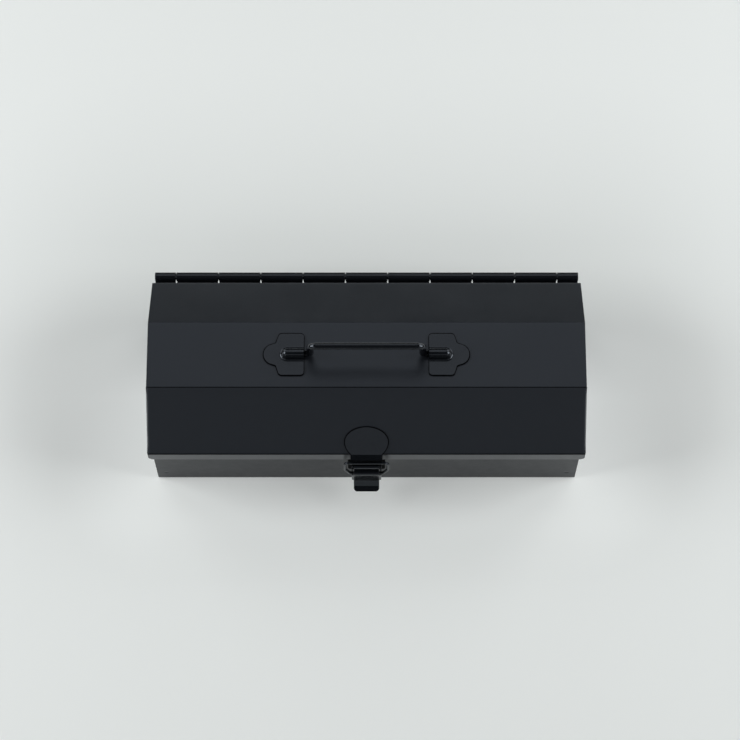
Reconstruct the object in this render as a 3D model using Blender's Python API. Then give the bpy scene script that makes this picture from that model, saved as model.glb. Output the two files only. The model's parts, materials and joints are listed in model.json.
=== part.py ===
"""A hand-carried steel tool box with a camber-top lid, built as separate sheet-metal pieces.

Run it in Blender: blender --background --python part.py
World frame: +X to the right as seen from the front, +Y to the rear, +Z up. Metres.
The origin is on the underside of the base, in the middle of the box.
"""

import math

import bmesh
import bpy
from mathutils import Matrix, Vector

MM = 0.001
GAP = 0.3 * MM

# Shell
SHEET = 1.0 * MM
LID_WIDTH = 359 * MM
LID_DEPTH = 151 * MM
BASE_WIDTH = 352 * MM
BASE_DEPTH = 144 * MM
RIM_HEIGHT = 77.2 * MM
LIP_BOTTOM = 62.8 * MM
CREASE_HEIGHT = 76.5 * MM
TOP_HEIGHT = 108.2 * MM
TOP_DEPTH = 56.2 * MM
BEND_RADIUS = 1.5 * MM
HEM_RADIUS = 0.75 * MM
HEM_BEND = 0.98 * HEM_RADIUS
HEM_DROP = 7.2 * MM
FLANGE = 10 * MM

# Continuous hinge
HINGE_Y = 85.1 * MM
HINGE_Z = 65.0 * MM
HINGE_LENGTH = 356.4 * MM
KNUCKLE_PITCH = 35.64 * MM
FULL_KNUCKLES = 9
BARREL_RADIUS = 3.8 * MM
HINGE_PIN_RADIUS = 2.5 * MM
KNUCKLE_GAP = 0.5 * MM
ROLL_END_DEG = 215
LEAF_STEP_Y = 79.3 * MM
LEAF_RAMP_START_Y = 79.6 * MM
LEAF_RAMP_END_Y = 83.0 * MM
LID_LEAF_TOP_Z = 74.5 * MM
BASE_LEAF_BOTTOM_Z = 46 * MM
RELIEF_WIDTH = 1.1 * MM
RELIEF_DEPTH = 0.9 * MM

# Handle and its ears
HANDLE_Z = 111.6 * MM
HANDLE_REACH = 30 * MM
HANDLE_LEAN = math.radians(8.8)
HANDLE_HALF_WIDTH = 45.7 * MM
HANDLE_BAR_BEND = 6 * MM
HANDLE_FOOT_BEND = 5 * MM
HANDLE_ROD_RADIUS = 2.85 * MM
HANDLE_FOOT_END = 62 * MM
EAR_INNER_X = 50.7 * MM
EAR_SHOULDER_X = 71.6 * MM
EAR_HALF_DEPTH = 18.6 * MM
EAR_LOBE_X = 75.5 * MM
EAR_LOBE_RADIUS = 9.3 * MM
EAR_LOBE_DEG = 72
EAR_NOTCH_RUN = 4.0 * MM
EAR_NOTCH_RADIUS = 2.0 * MM
EAR_CORNER_RADIUS = 3.5 * MM
EAR_BARREL_RADIUS = 4.4 * MM
EAR_BARREL_END_X = 64.8 * MM

# Draw latch. Depths are in front of the base's front wall.
LATCH_SHEET = 0.8 * MM
FULCRUM_DEPTH = 8.5 * MM
FULCRUM_Z = 59.0 * MM
FULCRUM_PIN_RADIUS = 0.8 * MM
CURL_RADIUS = 1.35 * MM
BAIL_PIVOT_DEPTH = 9.7 * MM
BAIL_PIVOT_Z = 46.0 * MM
BAIL_TOP_DEPTH = 7.4 * MM
BAIL_TOP_Z = 66.0 * MM
BAIL_WIRE_RADIUS = 1.2 * MM
BAIL_HALF_WIDTH = 17.7 * MM
BAIL_TOP_BEND = 3.5 * MM
BAIL_TAPER_LENGTH = 7 * MM
BAIL_TAPER_BEND = 3 * MM
BAIL_FOOT_X = 13.9 * MM
BAIL_FOOT_BEND = 1.6 * MM
BAIL_FOOT_END_X = 10.2 * MM
LEVER_FACE_DEPTH = 12.3 * MM
LEVER_FACE_TOP_Z = 47.8 * MM
LEVER_FACE_BOTTOM_Z = 35.6 * MM
LEVER_HALF_WIDTH = 12.3 * MM
SHELF_Z = 50.2 * MM
SHELF_HALF_WIDTH = 10.3 * MM
TAB_KNEE_Z = 33.0 * MM
TAB_BEND_DEPTH = 15.6 * MM
TAB_BEND_Z = 28.0 * MM
TAB_END_DEPTH = 20.0 * MM
TAB_END_Z = 26.2 * MM
TAB_HALF_WIDTH = 10.6 * MM
TAB_CORNER_RADIUS = 3 * MM
CHEEK_X = 11.2 * MM
CHEEK_UPPER = (7.4 * MM, 48.4 * MM)
CHEEK_MIDDLE = (6.6 * MM, 44.0 * MM)
CHEEK_LOWER = (9.0 * MM, 38.0 * MM)
CHEEK_ROOT_TOP_Z = 48.0 * MM
CHEEK_ROOT_BOTTOM_Z = 37.0 * MM
CHEEK_CORNER_RADIUS = 2 * MM
MOUNT_HALF_WIDTH = 15.4 * MM
MOUNT_BOTTOM_Z = 29.5 * MM
MOUNT_TOP_Z = 61.2 * MM
MOUNT_CORNER_RADIUS = 2 * MM
MOUNT_EAR_X = 10.8 * MM
MOUNT_EAR_SHEET = 0.9 * MM
MOUNT_EAR_RADIUS = 2.1 * MM
MOUNT_EAR_BOTTOM_Z = 53.5 * MM
RUNNING_CLEARANCE = 0.2 * MM
PIN_HEAD_RADIUS = 1.4 * MM
PIN_HEAD_EDGE_RADIUS = 1.1 * MM
PIN_HEAD_LENGTH = 0.6 * MM
RIVETS = {
    "mount_rivet_lower_left": (-7 * MM, 35 * MM),
    "mount_rivet_lower_right": (7 * MM, 35 * MM),
    "mount_rivet_upper_left": (-7 * MM, 50 * MM),
    "mount_rivet_upper_right": (7 * MM, 50 * MM),
}
RIVET_RADIUS = 1.5 * MM
RIVET_HEAD_RADIUS = 2.6 * MM
RIVET_HEAD_RISE = 0.9 * MM

# Catch plate on the lid
CATCH_HALF_WIDTH = 18.35 * MM
CATCH_NECK_HALF_WIDTH = 13.1 * MM
CATCH_HEAD_LENGTH = 13.1 * MM
CATCH_NECK_LENGTH = 11.0 * MM
CATCH_NOSE_Y = -79.2 * MM
CATCH_NOSE_Z = 72.0 * MM
CATCH_LIP_Y = -76.9 * MM
CATCH_LIP_Z = 68.2 * MM
CATCH_END_Y = -77.2 * MM
CATCH_END_Z = 64.6 * MM

FRONT_Y = -BASE_DEPTH / 2
BLACK_PAINT = (0.020, 0.021, 0.024)
BLACK_STEEL = (0.012, 0.012, 0.014)


# ---------------------------------------------------------------- outlines


def arc(centre, radius, start_deg, end_deg, steps):
    """Points on an arc, both ends included."""
    points = []
    for i in range(steps + 1):
        angle = math.radians(start_deg + (end_deg - start_deg) * i / steps)
        points.append((centre[0] + radius * math.cos(angle), centre[1] + radius * math.sin(angle)))
    return points


def rounded(corners, closed=False, steps=3):
    """A path with each corner (u, v, radius) replaced by an arc. A radius of 0 keeps it sharp."""
    points = []
    count = len(corners)
    for i, (u, v, radius) in enumerate(corners):
        here = Vector((u, v))
        at_end = not closed and i in (0, count - 1)
        if at_end or radius == 0:
            points.append((u, v))
            continue
        to_before = (Vector(corners[i - 1][:2]) - here).normalized()
        to_after = (Vector(corners[(i + 1) % count][:2]) - here).normalized()
        half = to_before.angle(to_after) / 2
        centre = here + (to_before + to_after).normalized() * (radius / math.sin(half))
        first = here + to_before * (radius / math.tan(half)) - centre
        last = here + to_after * (radius / math.tan(half)) - centre
        turn = math.atan2(first.x * last.y - first.y * last.x, first.dot(last))
        begin = math.atan2(first.y, first.x)
        points += arc(centre, radius, math.degrees(begin), math.degrees(begin + turn), steps)
    return points


def offset(path, distance):
    """An open path moved sideways, to its left for a positive distance."""
    moved = []
    for i, point in enumerate(path):
        before = Vector(path[max(i - 1, 0)])
        after = Vector(path[min(i + 1, len(path) - 1)])
        here = Vector(point)
        into = (here - before).normalized() if i > 0 else (after - here).normalized()
        out = (after - here).normalized() if i < len(path) - 1 else into
        normal = Vector((-into.y - out.y, into.x + out.x)).normalized()
        along = max(normal.dot(Vector((-into.y, into.x))), 0.2)
        moved.append(tuple(here + normal * (distance / along)))
    return moved


def sheet_outline(path, thickness):
    """The closed outline of a sheet of this thickness centred on an open path."""
    return offset(path, thickness / 2) + offset(path, -thickness / 2)[::-1]


def mirrored(outline):
    """The outline with its first coordinate negated."""
    return [(-u, v) for u, v in outline]


# ---------------------------------------------------------------- solids


def axes_for(axis):
    """Places (u, v, w) in the world, with w along the named axis."""
    if axis == "X":
        return lambda u, v, w: (w, u, v)
    if axis == "Y":
        return lambda u, v, w: (u, w, v)
    return lambda u, v, w: (u, v, w)


def add_prism(bm, outline, low, high, axis="X"):
    """Adds a prism over an outline, from low to high along the axis."""
    place = axes_for(axis)
    bottom = [bm.verts.new(place(u, v, low)) for u, v in outline]
    face = bm.faces.new(bottom)
    extruded = bmesh.ops.extrude_face_region(bm, geom=[face], use_keep_orig=True)
    moved = [item for item in extruded["geom"] if isinstance(item, bmesh.types.BMVert)]
    shift = Vector(place(0, 0, high - low))
    bmesh.ops.translate(bm, verts=moved, vec=shift)


def add_box(bm, low, high):
    """Adds a box between two corners."""
    size = Vector(high) - Vector(low)
    middle = (Vector(high) + Vector(low)) / 2
    matrix = Matrix.Translation(middle) @ Matrix.Diagonal((*size, 1))
    bmesh.ops.create_cube(bm, size=1, matrix=matrix)


def add_cylinder(bm, start, end, radius, segments=24):
    """Adds a closed cylinder between two points."""
    along = Vector(end) - Vector(start)
    turn = along.to_track_quat("Z", "Y").to_matrix().to_4x4()
    matrix = Matrix.Translation((Vector(start) + Vector(end)) / 2) @ turn
    bmesh.ops.create_cone(bm, cap_ends=True, segments=segments, radius1=radius, radius2=radius,
                          depth=along.length, matrix=matrix)


def add_ribbon(bm, path, half_widths, thickness):
    """Adds a sheet that follows a path in the YZ plane and has its own half width at each point."""
    upper = offset(path, thickness / 2)
    lower = offset(path, -thickness / 2)
    rings = []
    for (y_up, z_up), (y_low, z_low), half in zip(upper, lower, half_widths):
        corners = ((-half, y_up, z_up), (half, y_up, z_up), (half, y_low, z_low), (-half, y_low, z_low))
        rings.append([bm.verts.new(corner) for corner in corners])
    for first, second in zip(rings, rings[1:]):
        for k in range(4):
            bm.faces.new((first[k], first[(k + 1) % 4], second[(k + 1) % 4], second[k]))
    bm.faces.new(rings[0][::-1])
    bm.faces.new(rings[-1])


def make_object(name, bm, round_piece=False):
    """Turns a bmesh into an object with outward normals."""
    bmesh.ops.recalc_face_normals(bm, faces=bm.faces)
    mesh = bpy.data.meshes.new(name)
    bm.to_mesh(mesh)
    bm.free()
    if round_piece:
        mesh.shade_smooth()
        mesh.set_sharp_from_angle(angle=math.radians(35))
    obj = bpy.data.objects.new(name, mesh)
    bpy.context.scene.collection.objects.link(obj)
    return obj


def prism_object(name, outline, low, high, axis="X", round_piece=False):
    bm = bmesh.new()
    add_prism(bm, outline, low, high, axis)
    return make_object(name, bm, round_piece)


def combine(target, helper, operation):
    """Adds or cuts a helper shape with a Boolean, and keeps the helper out of the render."""
    helper.hide_render = True
    helper.display_type = "WIRE"
    modifier = target.modifiers.new(operation.title() + "_" + helper.name, "BOOLEAN")
    modifier.operation = operation
    modifier.solver = "EXACT"
    modifier.object = helper


def rod(name, points, radius):
    """A round rod along 3D points, as a bevelled curve with closed ends."""
    curve = bpy.data.curves.new(name, "CURVE")
    curve.dimensions = "3D"
    curve.bevel_depth = radius
    curve.bevel_resolution = 2
    curve.use_fill_caps = True
    spline = curve.splines.new("POLY")
    spline.points.add(len(points) - 1)
    for target, point in zip(spline.points, points):
        target.co = (*point, 1)
    obj = bpy.data.objects.new(name, curve)
    bpy.context.scene.collection.objects.link(obj)
    return obj


def finish(obj, colour, roughness, metallic):
    """Gives an object a material of its own."""
    material = bpy.data.materials.new(obj.name + "_finish")
    material.use_nodes = True
    shader = material.node_tree.nodes["Principled BSDF"]
    shader.inputs["Base Color"].default_value = (*colour, 1)
    shader.inputs["Roughness"].default_value = roughness
    shader.inputs["Metallic"].default_value = metallic
    obj.data.materials.clear()
    obj.data.materials.append(material)


def pivot(name, place, pieces):
    """An empty on a joint's axis that carries the pieces of one moving body."""
    empty = bpy.data.objects.new(name, None)
    empty.location = place
    bpy.context.scene.collection.objects.link(empty)
    bpy.context.view_layer.update()
    for piece in pieces:
        piece.parent = empty
        piece.matrix_parent_inverse = empty.matrix_world.inverted()
    return empty


# ---------------------------------------------------------------- base


def base_wrap():
    """Front wall, bottom and rear wall, folded from one sheet with hemmed rims."""
    wall = BASE_DEPTH / 2 - SHEET / 2
    bottom = SHEET / 2
    rim = RIM_HEIGHT - SHEET / 2
    hem = wall - 2 * HEM_RADIUS
    hem_end = rim - HEM_DROP
    corners = [
        (-hem, hem_end, 0),
        (-hem, rim, HEM_BEND),
        (-wall, rim, HEM_BEND),
        (-wall, bottom, BEND_RADIUS),
        (wall, bottom, BEND_RADIUS),
        (wall, rim, HEM_BEND),
        (hem, rim, HEM_BEND),
        (hem, hem_end, 0),
    ]
    outline = sheet_outline(rounded(corners), SHEET)
    wrap = prism_object("base_wrap", outline, -BASE_WIDTH / 2, BASE_WIDTH / 2)
    holes = bmesh.new()
    for x, z in RIVETS.values():
        start = (x, FRONT_Y - 2 * SHEET, z)
        end = (x, FRONT_Y + 3 * SHEET, z)
        add_cylinder(holes, start, end, RIVET_RADIUS + GAP, 16)
    combine(wrap, make_object("base_wrap_rivet_holes", holes), "DIFFERENCE")
    return wrap


def base_end(name, side):
    """One end of the base: a panel with a hemmed rim and flanges that sit inside the wrap."""
    outer = BASE_WIDTH / 2
    inner = outer - FLANGE
    flange = BASE_DEPTH / 2 - SHEET - GAP - SHEET / 2
    floor = SHEET + GAP + SHEET / 2
    rim = RIM_HEIGHT - SHEET / 2
    clear_of_hem = BASE_DEPTH / 2 - SHEET - 2 * HEM_RADIUS - GAP
    flange_top = rim - HEM_DROP - GAP
    plate = outer - SHEET / 2
    hemmed = [
        (inner, floor, 0),
        (plate, floor, BEND_RADIUS),
        (plate, rim, HEM_BEND),
        (plate - 2 * HEM_RADIUS, rim, HEM_BEND),
        (plate - 2 * HEM_RADIUS, rim - HEM_DROP, 0),
    ]
    outline = sheet_outline(rounded(hemmed), SHEET)
    if side < 0:
        outline = mirrored(outline)
    panel = prism_object(name, outline, -clear_of_hem, clear_of_hem, "Y")

    inset = 0.1 * MM
    low = side * (outer - SHEET + inset)
    high = side * (outer - inset)
    reach = flange + SHEET / 2 - inset
    bottom = floor - SHEET / 2 + inset
    cover = [(-reach, bottom), (reach, bottom), (reach, flange_top - inset), (-reach, flange_top - inset)]
    combine(panel, prism_object(name + "_cover", cover, low, high), "UNION")

    corners = [
        (-flange, flange_top, 0),
        (-flange, floor, BEND_RADIUS),
        (flange, floor, BEND_RADIUS),
        (flange, flange_top, 0),
    ]
    strip = sheet_outline(rounded(corners), SHEET)
    start = side * (inner - inset)
    end = side * (outer - 2 * inset)
    combine(panel, prism_object(name + "_flanges", strip, start, end), "UNION")
    return panel


# ---------------------------------------------------------------- lid


def lid_corners():
    """The corners of the lid's outer profile, from the front lip to the rear lip."""
    half = LID_DEPTH / 2
    crown = TOP_DEPTH / 2
    front = [(-half, LIP_BOTTOM), (-half, CREASE_HEIGHT), (-crown, TOP_HEIGHT)]
    return front + [(-y, z) for y, z in front[::-1]]


def lid_line(depth, radius, corners=None):
    """The lid's profile at a depth under its outer surface, with its own bend radius."""
    moved = offset(corners or lid_corners(), -depth)
    return rounded([(y, z, radius) for y, z in moved])


def lid_sheet():
    """Front lip, front slope, flat top, rear slope and rear lip, folded from one sheet."""
    outline = sheet_outline(lid_line(SHEET / 2, BEND_RADIUS), SHEET)
    return prism_object("lid_sheet", outline, -LID_WIDTH / 2, LID_WIDTH / 2)


def lid_end(name, side):
    """One end of the lid: a panel with flanges that sit inside the lid sheet, clear of the hinge leaf."""
    inset = 0.2 * MM
    outer = LID_WIDTH / 2 - GAP
    face = [(y, max(z, LIP_BOTTOM + inset)) for y, z in lid_line(SHEET + GAP + inset, BEND_RADIUS)]
    panel = prism_object(name, face, side * (outer - SHEET), side * outer)

    # The flange follows the slopes and the top, and stops short of the base's rims.
    crease, crown = Vector(lid_corners()[1]), Vector(lid_corners()[2])
    start = crease + (crown - crease).normalized() * FLANGE
    run = [tuple(start), tuple(crown), (-crown.x, crown.y), (-start.x, start.y)]
    strip = sheet_outline(lid_line(SHEET * 1.5 + GAP, SHEET, run), SHEET)
    low = side * (outer - FLANGE)
    high = side * (outer - inset)
    combine(panel, prism_object(name + "_flanges", strip, low, high), "UNION")
    return panel


def catch_plate():
    """The spade-shaped plate on the front slope; its neck stands out in a nose and ends behind the bail."""
    half = LID_DEPTH / 2
    slope = Vector((half - TOP_DEPTH / 2, TOP_HEIGHT - CREASE_HEIGHT)).normalized()
    raised = Vector((-slope.y, slope.x)) * (GAP + SHEET / 2)
    crease = Vector((-half, CREASE_HEIGHT)) + raised
    length = CATCH_HEAD_LENGTH + CATCH_NECK_LENGTH
    top = crease + slope * length

    # The head of the plate is divided finely, so that its round outline follows the ellipse.
    path = []
    half_widths = []
    divisions = 18
    for i in range(divisions):
        down = length * (1 - math.cos(math.pi / 2 * (i + 0.4) / divisions))
        path.append(tuple(top - slope * down))
        half_widths.append(catch_half_width(down))
    neck = [
        (top.x, top.y, 0),
        (crease.x, crease.y, BEND_RADIUS),
        (CATCH_NOSE_Y, CATCH_NOSE_Z, SHEET),
        (CATCH_LIP_Y, CATCH_LIP_Z, SHEET),
        (CATCH_END_Y, CATCH_END_Z, 0),
    ]
    for point in rounded(neck)[1:]:
        if (Vector(point) - top).length > down:
            path.append(point)
            half_widths.append(CATCH_NECK_HALF_WIDTH)
    bm = bmesh.new()
    add_ribbon(bm, path, half_widths, SHEET)
    return make_object("catch_plate", bm)


def catch_half_width(down):
    """Half width of the catch plate at a distance down the slope from its top."""
    below_widest = down - CATCH_HEAD_LENGTH
    if below_widest < 0:
        return CATCH_HALF_WIDTH * math.sqrt(max(1 - (below_widest / CATCH_HEAD_LENGTH) ** 2, 0.004))
    narrowing = 1 - (CATCH_NECK_HALF_WIDTH / CATCH_HALF_WIDTH) ** 2
    return CATCH_HALF_WIDTH * math.sqrt(1 - narrowing * (below_widest / CATCH_NECK_LENGTH) ** 2)


# ---------------------------------------------------------------- hinge


def knuckle_edges():
    """Where one knuckle ends and the next begins, with the hinge's two ends."""
    first = -KNUCKLE_PITCH * FULL_KNUCKLES / 2
    inner = [first + KNUCKLE_PITCH * i for i in range(FULL_KNUCKLES + 1)]
    return [-HINGE_LENGTH / 2] + inner + [HINGE_LENGTH / 2]


def hinge_leaf(name, flange, own_parity):
    """A leaf whose fingers are rolled round the pin, with the other leaf's knuckles cut away."""
    rolled = flange + arc((HINGE_Y, HINGE_Z), BARREL_RADIUS - SHEET / 2, -90, ROLL_END_DEG, 20)[1:]
    outline = sheet_outline(rolled, SHEET)
    leaf = prism_object(name, outline, -HINGE_LENGTH / 2, HINGE_LENGTH / 2, round_piece=True)
    edges = knuckle_edges()
    above = HINGE_Z + 2 * BARREL_RADIUS
    below = HINGE_Z - 2 * BARREL_RADIUS
    cuts = bmesh.new()
    for i, (start, end) in enumerate(zip(edges, edges[1:])):
        if i % 2 == own_parity:
            continue
        low_x = start - (KNUCKLE_GAP / 2 if i > 0 else KNUCKLE_PITCH)
        high_x = end + (KNUCKLE_GAP / 2 if i < len(edges) - 2 else KNUCKLE_PITCH)
        add_box(cuts, (low_x, LEAF_STEP_Y, below), (high_x, HINGE_Y + 2 * BARREL_RADIUS, above))
    combine(leaf, make_object(name + "_gaps", cuts), "DIFFERENCE")

    # Relief notches at the roots of the fingers.
    reliefs = bmesh.new()
    for edge in edges[1:-1]:
        low = (edge - RELIEF_WIDTH / 2, LEAF_STEP_Y - RELIEF_DEPTH, below)
        high = (edge + RELIEF_WIDTH / 2, HINGE_Y - BARREL_RADIUS + SHEET / 2, above)
        add_box(reliefs, low, high)
    combine(leaf, make_object(name + "_reliefs", reliefs), "DIFFERENCE")
    return leaf


def lid_hinge_leaf():
    """The leaf inside the lid's rear lip; it turns out under the lip to the barrel."""
    flange = LID_DEPTH / 2 - SHEET - GAP - SHEET / 2
    under = HINGE_Z - BARREL_RADIUS + SHEET / 2
    corners = [(flange, LID_LEAF_TOP_Z, 0), (flange, under, SHEET), (HINGE_Y, under, 0)]
    return hinge_leaf("lid_hinge_leaf", rounded(corners), 1)


def base_hinge_leaf():
    """The leaf on the outside of the base's rear wall; it turns out below the other leaf."""
    flange = BASE_DEPTH / 2 + GAP + SHEET / 2
    under = HINGE_Z - BARREL_RADIUS + SHEET / 2
    lower = under - SHEET - GAP
    corners = [
        (flange, BASE_LEAF_BOTTOM_Z, 0),
        (flange, lower, BEND_RADIUS),
        (LEAF_RAMP_START_Y, lower, 0),
        (LEAF_RAMP_END_Y, under, 0),
        (HINGE_Y, under, 0),
    ]
    return hinge_leaf("base_hinge_leaf", rounded(corners), 0)


def hinge_pin():
    bm = bmesh.new()
    start = (-HINGE_LENGTH / 2, HINGE_Y, HINGE_Z)
    end = (HINGE_LENGTH / 2, HINGE_Y, HINGE_Z)
    add_cylinder(bm, start, end, HINGE_PIN_RADIUS, 20)
    return make_object("hinge_pin", bm, round_piece=True)


# ---------------------------------------------------------------- handle


def ear_outline():
    """Outline of the right ear seen from above: a rectangle with shoulders and a round lobe."""
    tip = arc((EAR_LOBE_X, 0), EAR_LOBE_RADIUS, 0, EAR_LOBE_DEG, 8)
    end = Vector(tip[-1])
    angle = math.radians(EAR_LOBE_DEG)
    notch = end + Vector((-math.sin(angle), math.cos(angle))) * EAR_NOTCH_RUN
    corners = [
        (end.x, end.y, 0),
        (notch.x, notch.y, EAR_NOTCH_RADIUS),
        (EAR_SHOULDER_X, EAR_HALF_DEPTH, EAR_CORNER_RADIUS),
        (EAR_INNER_X, EAR_HALF_DEPTH, EAR_CORNER_RADIUS),
        (EAR_INNER_X, 0, 0),
    ]
    upper = tip[:-1] + rounded(corners)[:-1]
    lower = [(x, -y) for x, y in upper[1:]][::-1]
    return upper + lower


def handle_ear(name, side):
    """A plate with a pressed half-barrel that holds one foot of the handle."""
    plate_low = TOP_HEIGHT + GAP
    plate_high = plate_low + SHEET
    outline = [(side * x, y) for x, y in ear_outline()]
    ear = prism_object(name, outline, plate_low, plate_high, "Z")

    # The slot under the half-barrel leaves room for the foot.
    bore = EAR_BARREL_RADIUS - SHEET
    mouth = EAR_INNER_X - 2 * SHEET
    slot = [(mouth, -bore)] + arc((EAR_BARREL_END_X, 0), bore, -90, 90, 8) + [(mouth, bore)]
    slot = [(side * x, y) for x, y in slot]
    room = prism_object(name + "_slot", slot, TOP_HEIGHT - SHEET, HANDLE_Z, "Z")
    combine(ear, room, "DIFFERENCE")

    # The half-barrel is a bullet-shaped shell: a profile turned half way round the handle's axis.
    outer = arc((EAR_BARREL_END_X, 0), EAR_BARREL_RADIUS, 0, 90, 6) + [(EAR_INNER_X, EAR_BARREL_RADIUS)]
    inner = [(EAR_INNER_X, bore)] + arc((EAR_BARREL_END_X, 0), bore, 90, 0, 6)
    bm = bmesh.new()
    steps = 12
    rings = []
    for i in range(steps + 1):
        angle = math.pi * i / steps
        ring = []
        for x, r in outer + inner:
            place = (side * x, r * math.cos(angle), HANDLE_Z + r * math.sin(angle))
            ring.append(bm.verts.new(place))
        rings.append(ring)
    down = Vector((0, 0, plate_low + SHEET / 2 - HANDLE_Z))
    for ring in (rings[0], rings[-1]):
        skirt = [bm.verts.new(vert.co + down) for vert in ring]
        rings.insert(0 if ring is rings[0] else len(rings), skirt)
    for first, second in zip(rings, rings[1:]):
        for k in range(len(first) - 1):
            bm.faces.new((first[k], first[k + 1], second[k + 1], second[k]))
    bm.faces.new(rings[0])
    bm.faces.new(rings[-1][::-1])
    bmesh.ops.remove_doubles(bm, verts=bm.verts, dist=0.001 * MM)
    combine(ear, make_object(name + "_barrel", bm), "UNION")
    return ear


def handle():
    """A bent round rod: a bar, two legs and two feet that turn out into the ears."""
    half = HANDLE_HALF_WIDTH
    corners = [
        (-HANDLE_FOOT_END, 0, 0),
        (-half, 0, HANDLE_FOOT_BEND),
        (-half, HANDLE_REACH, HANDLE_BAR_BEND),
        (half, HANDLE_REACH, HANDLE_BAR_BEND),
        (half, 0, HANDLE_FOOT_BEND),
        (HANDLE_FOOT_END, 0, 0),
    ]
    lean = Vector((0, -math.sin(HANDLE_LEAN), math.cos(HANDLE_LEAN)))
    points = []
    for x, reach in rounded(corners, steps=6):
        points.append((x, lean.y * reach, HANDLE_Z + lean.z * reach))
    return rod("handle", points, HANDLE_ROD_RADIUS)


# ---------------------------------------------------------------- latch


def latch_mount_plate():
    """A plate on the base's front wall with two ears that hold the lever's fulcrum pin."""
    back = FRONT_Y - GAP
    front = back - SHEET
    half = MOUNT_HALF_WIDTH
    around = [(-half, MOUNT_BOTTOM_Z), (half, MOUNT_BOTTOM_Z), (half, MOUNT_TOP_Z), (-half, MOUNT_TOP_Z)]
    outline = rounded([(x, z, MOUNT_CORNER_RADIUS) for x, z in around], closed=True)
    plate = prism_object("latch_mount_plate", outline, front, back, "Y")

    centre = (FRONT_Y - FULCRUM_DEPTH, FULCRUM_Z)
    root = back - SHEET / 2
    ear = arc(centre, MOUNT_EAR_RADIUS, 90, 250, 8)
    ear += [(root, MOUNT_EAR_BOTTOM_Z), (root, FULCRUM_Z + MOUNT_EAR_RADIUS)]
    ears = bmesh.new()
    for side in (-1, 1):
        add_prism(ears, ear, side * MOUNT_EAR_X, side * (MOUNT_EAR_X + MOUNT_EAR_SHEET))
    combine(plate, make_object("latch_mount_ears", ears), "UNION")

    holes = bmesh.new()
    start = (-half, *centre)
    end = (half, *centre)
    add_cylinder(holes, start, end, FULCRUM_PIN_RADIUS + RUNNING_CLEARANCE, 16)
    for x, z in RIVETS.values():
        add_cylinder(holes, (x, back + SHEET, z), (x, front - SHEET, z), RIVET_RADIUS + GAP, 16)
    combine(plate, make_object("latch_mount_holes", holes), "DIFFERENCE")
    return plate


def latch_mount_rivet(name, x, z):
    """A rivet through the plate and the wall: a turned profile with a head at both ends."""
    outside = FRONT_Y - 2 * GAP - SHEET
    inside = FRONT_Y + SHEET + GAP
    head = RIVET_HEAD_RADIUS
    rise = RIVET_HEAD_RISE
    profile = [
        (0, outside - rise),
        (head * 0.7, outside - rise * 0.8),
        (head, outside),
        (RIVET_RADIUS, outside),
        (RIVET_RADIUS, inside),
        (head, inside),
        (head * 0.7, inside + rise * 0.8),
        (0, inside + rise),
    ]
    bm = bmesh.new()
    verts = [bm.verts.new((x + r, y, z)) for r, y in profile]
    edges = [bm.edges.new(pair) for pair in zip(verts, verts[1:])]
    bmesh.ops.spin(bm, geom=verts + edges, cent=(x, 0, z), axis=(0, 1, 0), angle=math.tau,
                   steps=14, use_duplicate=False)
    bmesh.ops.remove_doubles(bm, verts=bm.verts, dist=0.001 * MM)
    return make_object(name, bm, round_piece=True)


def lever_fulcrum_pin():
    """The pin through the mount's ears, with a peened head at each end."""
    y = FRONT_Y - FULCRUM_DEPTH
    ear_face = MOUNT_EAR_X + MOUNT_EAR_SHEET + RUNNING_CLEARANCE
    head = ear_face + PIN_HEAD_LENGTH
    profile = [
        (-head, 0),
        (-head, PIN_HEAD_EDGE_RADIUS),
        (-ear_face, PIN_HEAD_RADIUS),
        (-ear_face, FULCRUM_PIN_RADIUS),
        (ear_face, FULCRUM_PIN_RADIUS),
        (ear_face, PIN_HEAD_RADIUS),
        (head, PIN_HEAD_EDGE_RADIUS),
        (head, 0),
    ]
    bm = bmesh.new()
    verts = [bm.verts.new((x, y, FULCRUM_Z + r)) for x, r in profile]
    edges = [bm.edges.new(pair) for pair in zip(verts, verts[1:])]
    bmesh.ops.spin(bm, geom=verts + edges, cent=(0, y, FULCRUM_Z), axis=(1, 0, 0), angle=math.tau,
                   steps=14, use_duplicate=False)
    bmesh.ops.remove_doubles(bm, verts=bm.verts, dist=0.001 * MM)
    return make_object("lever_fulcrum_pin", bm, round_piece=True)


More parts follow.
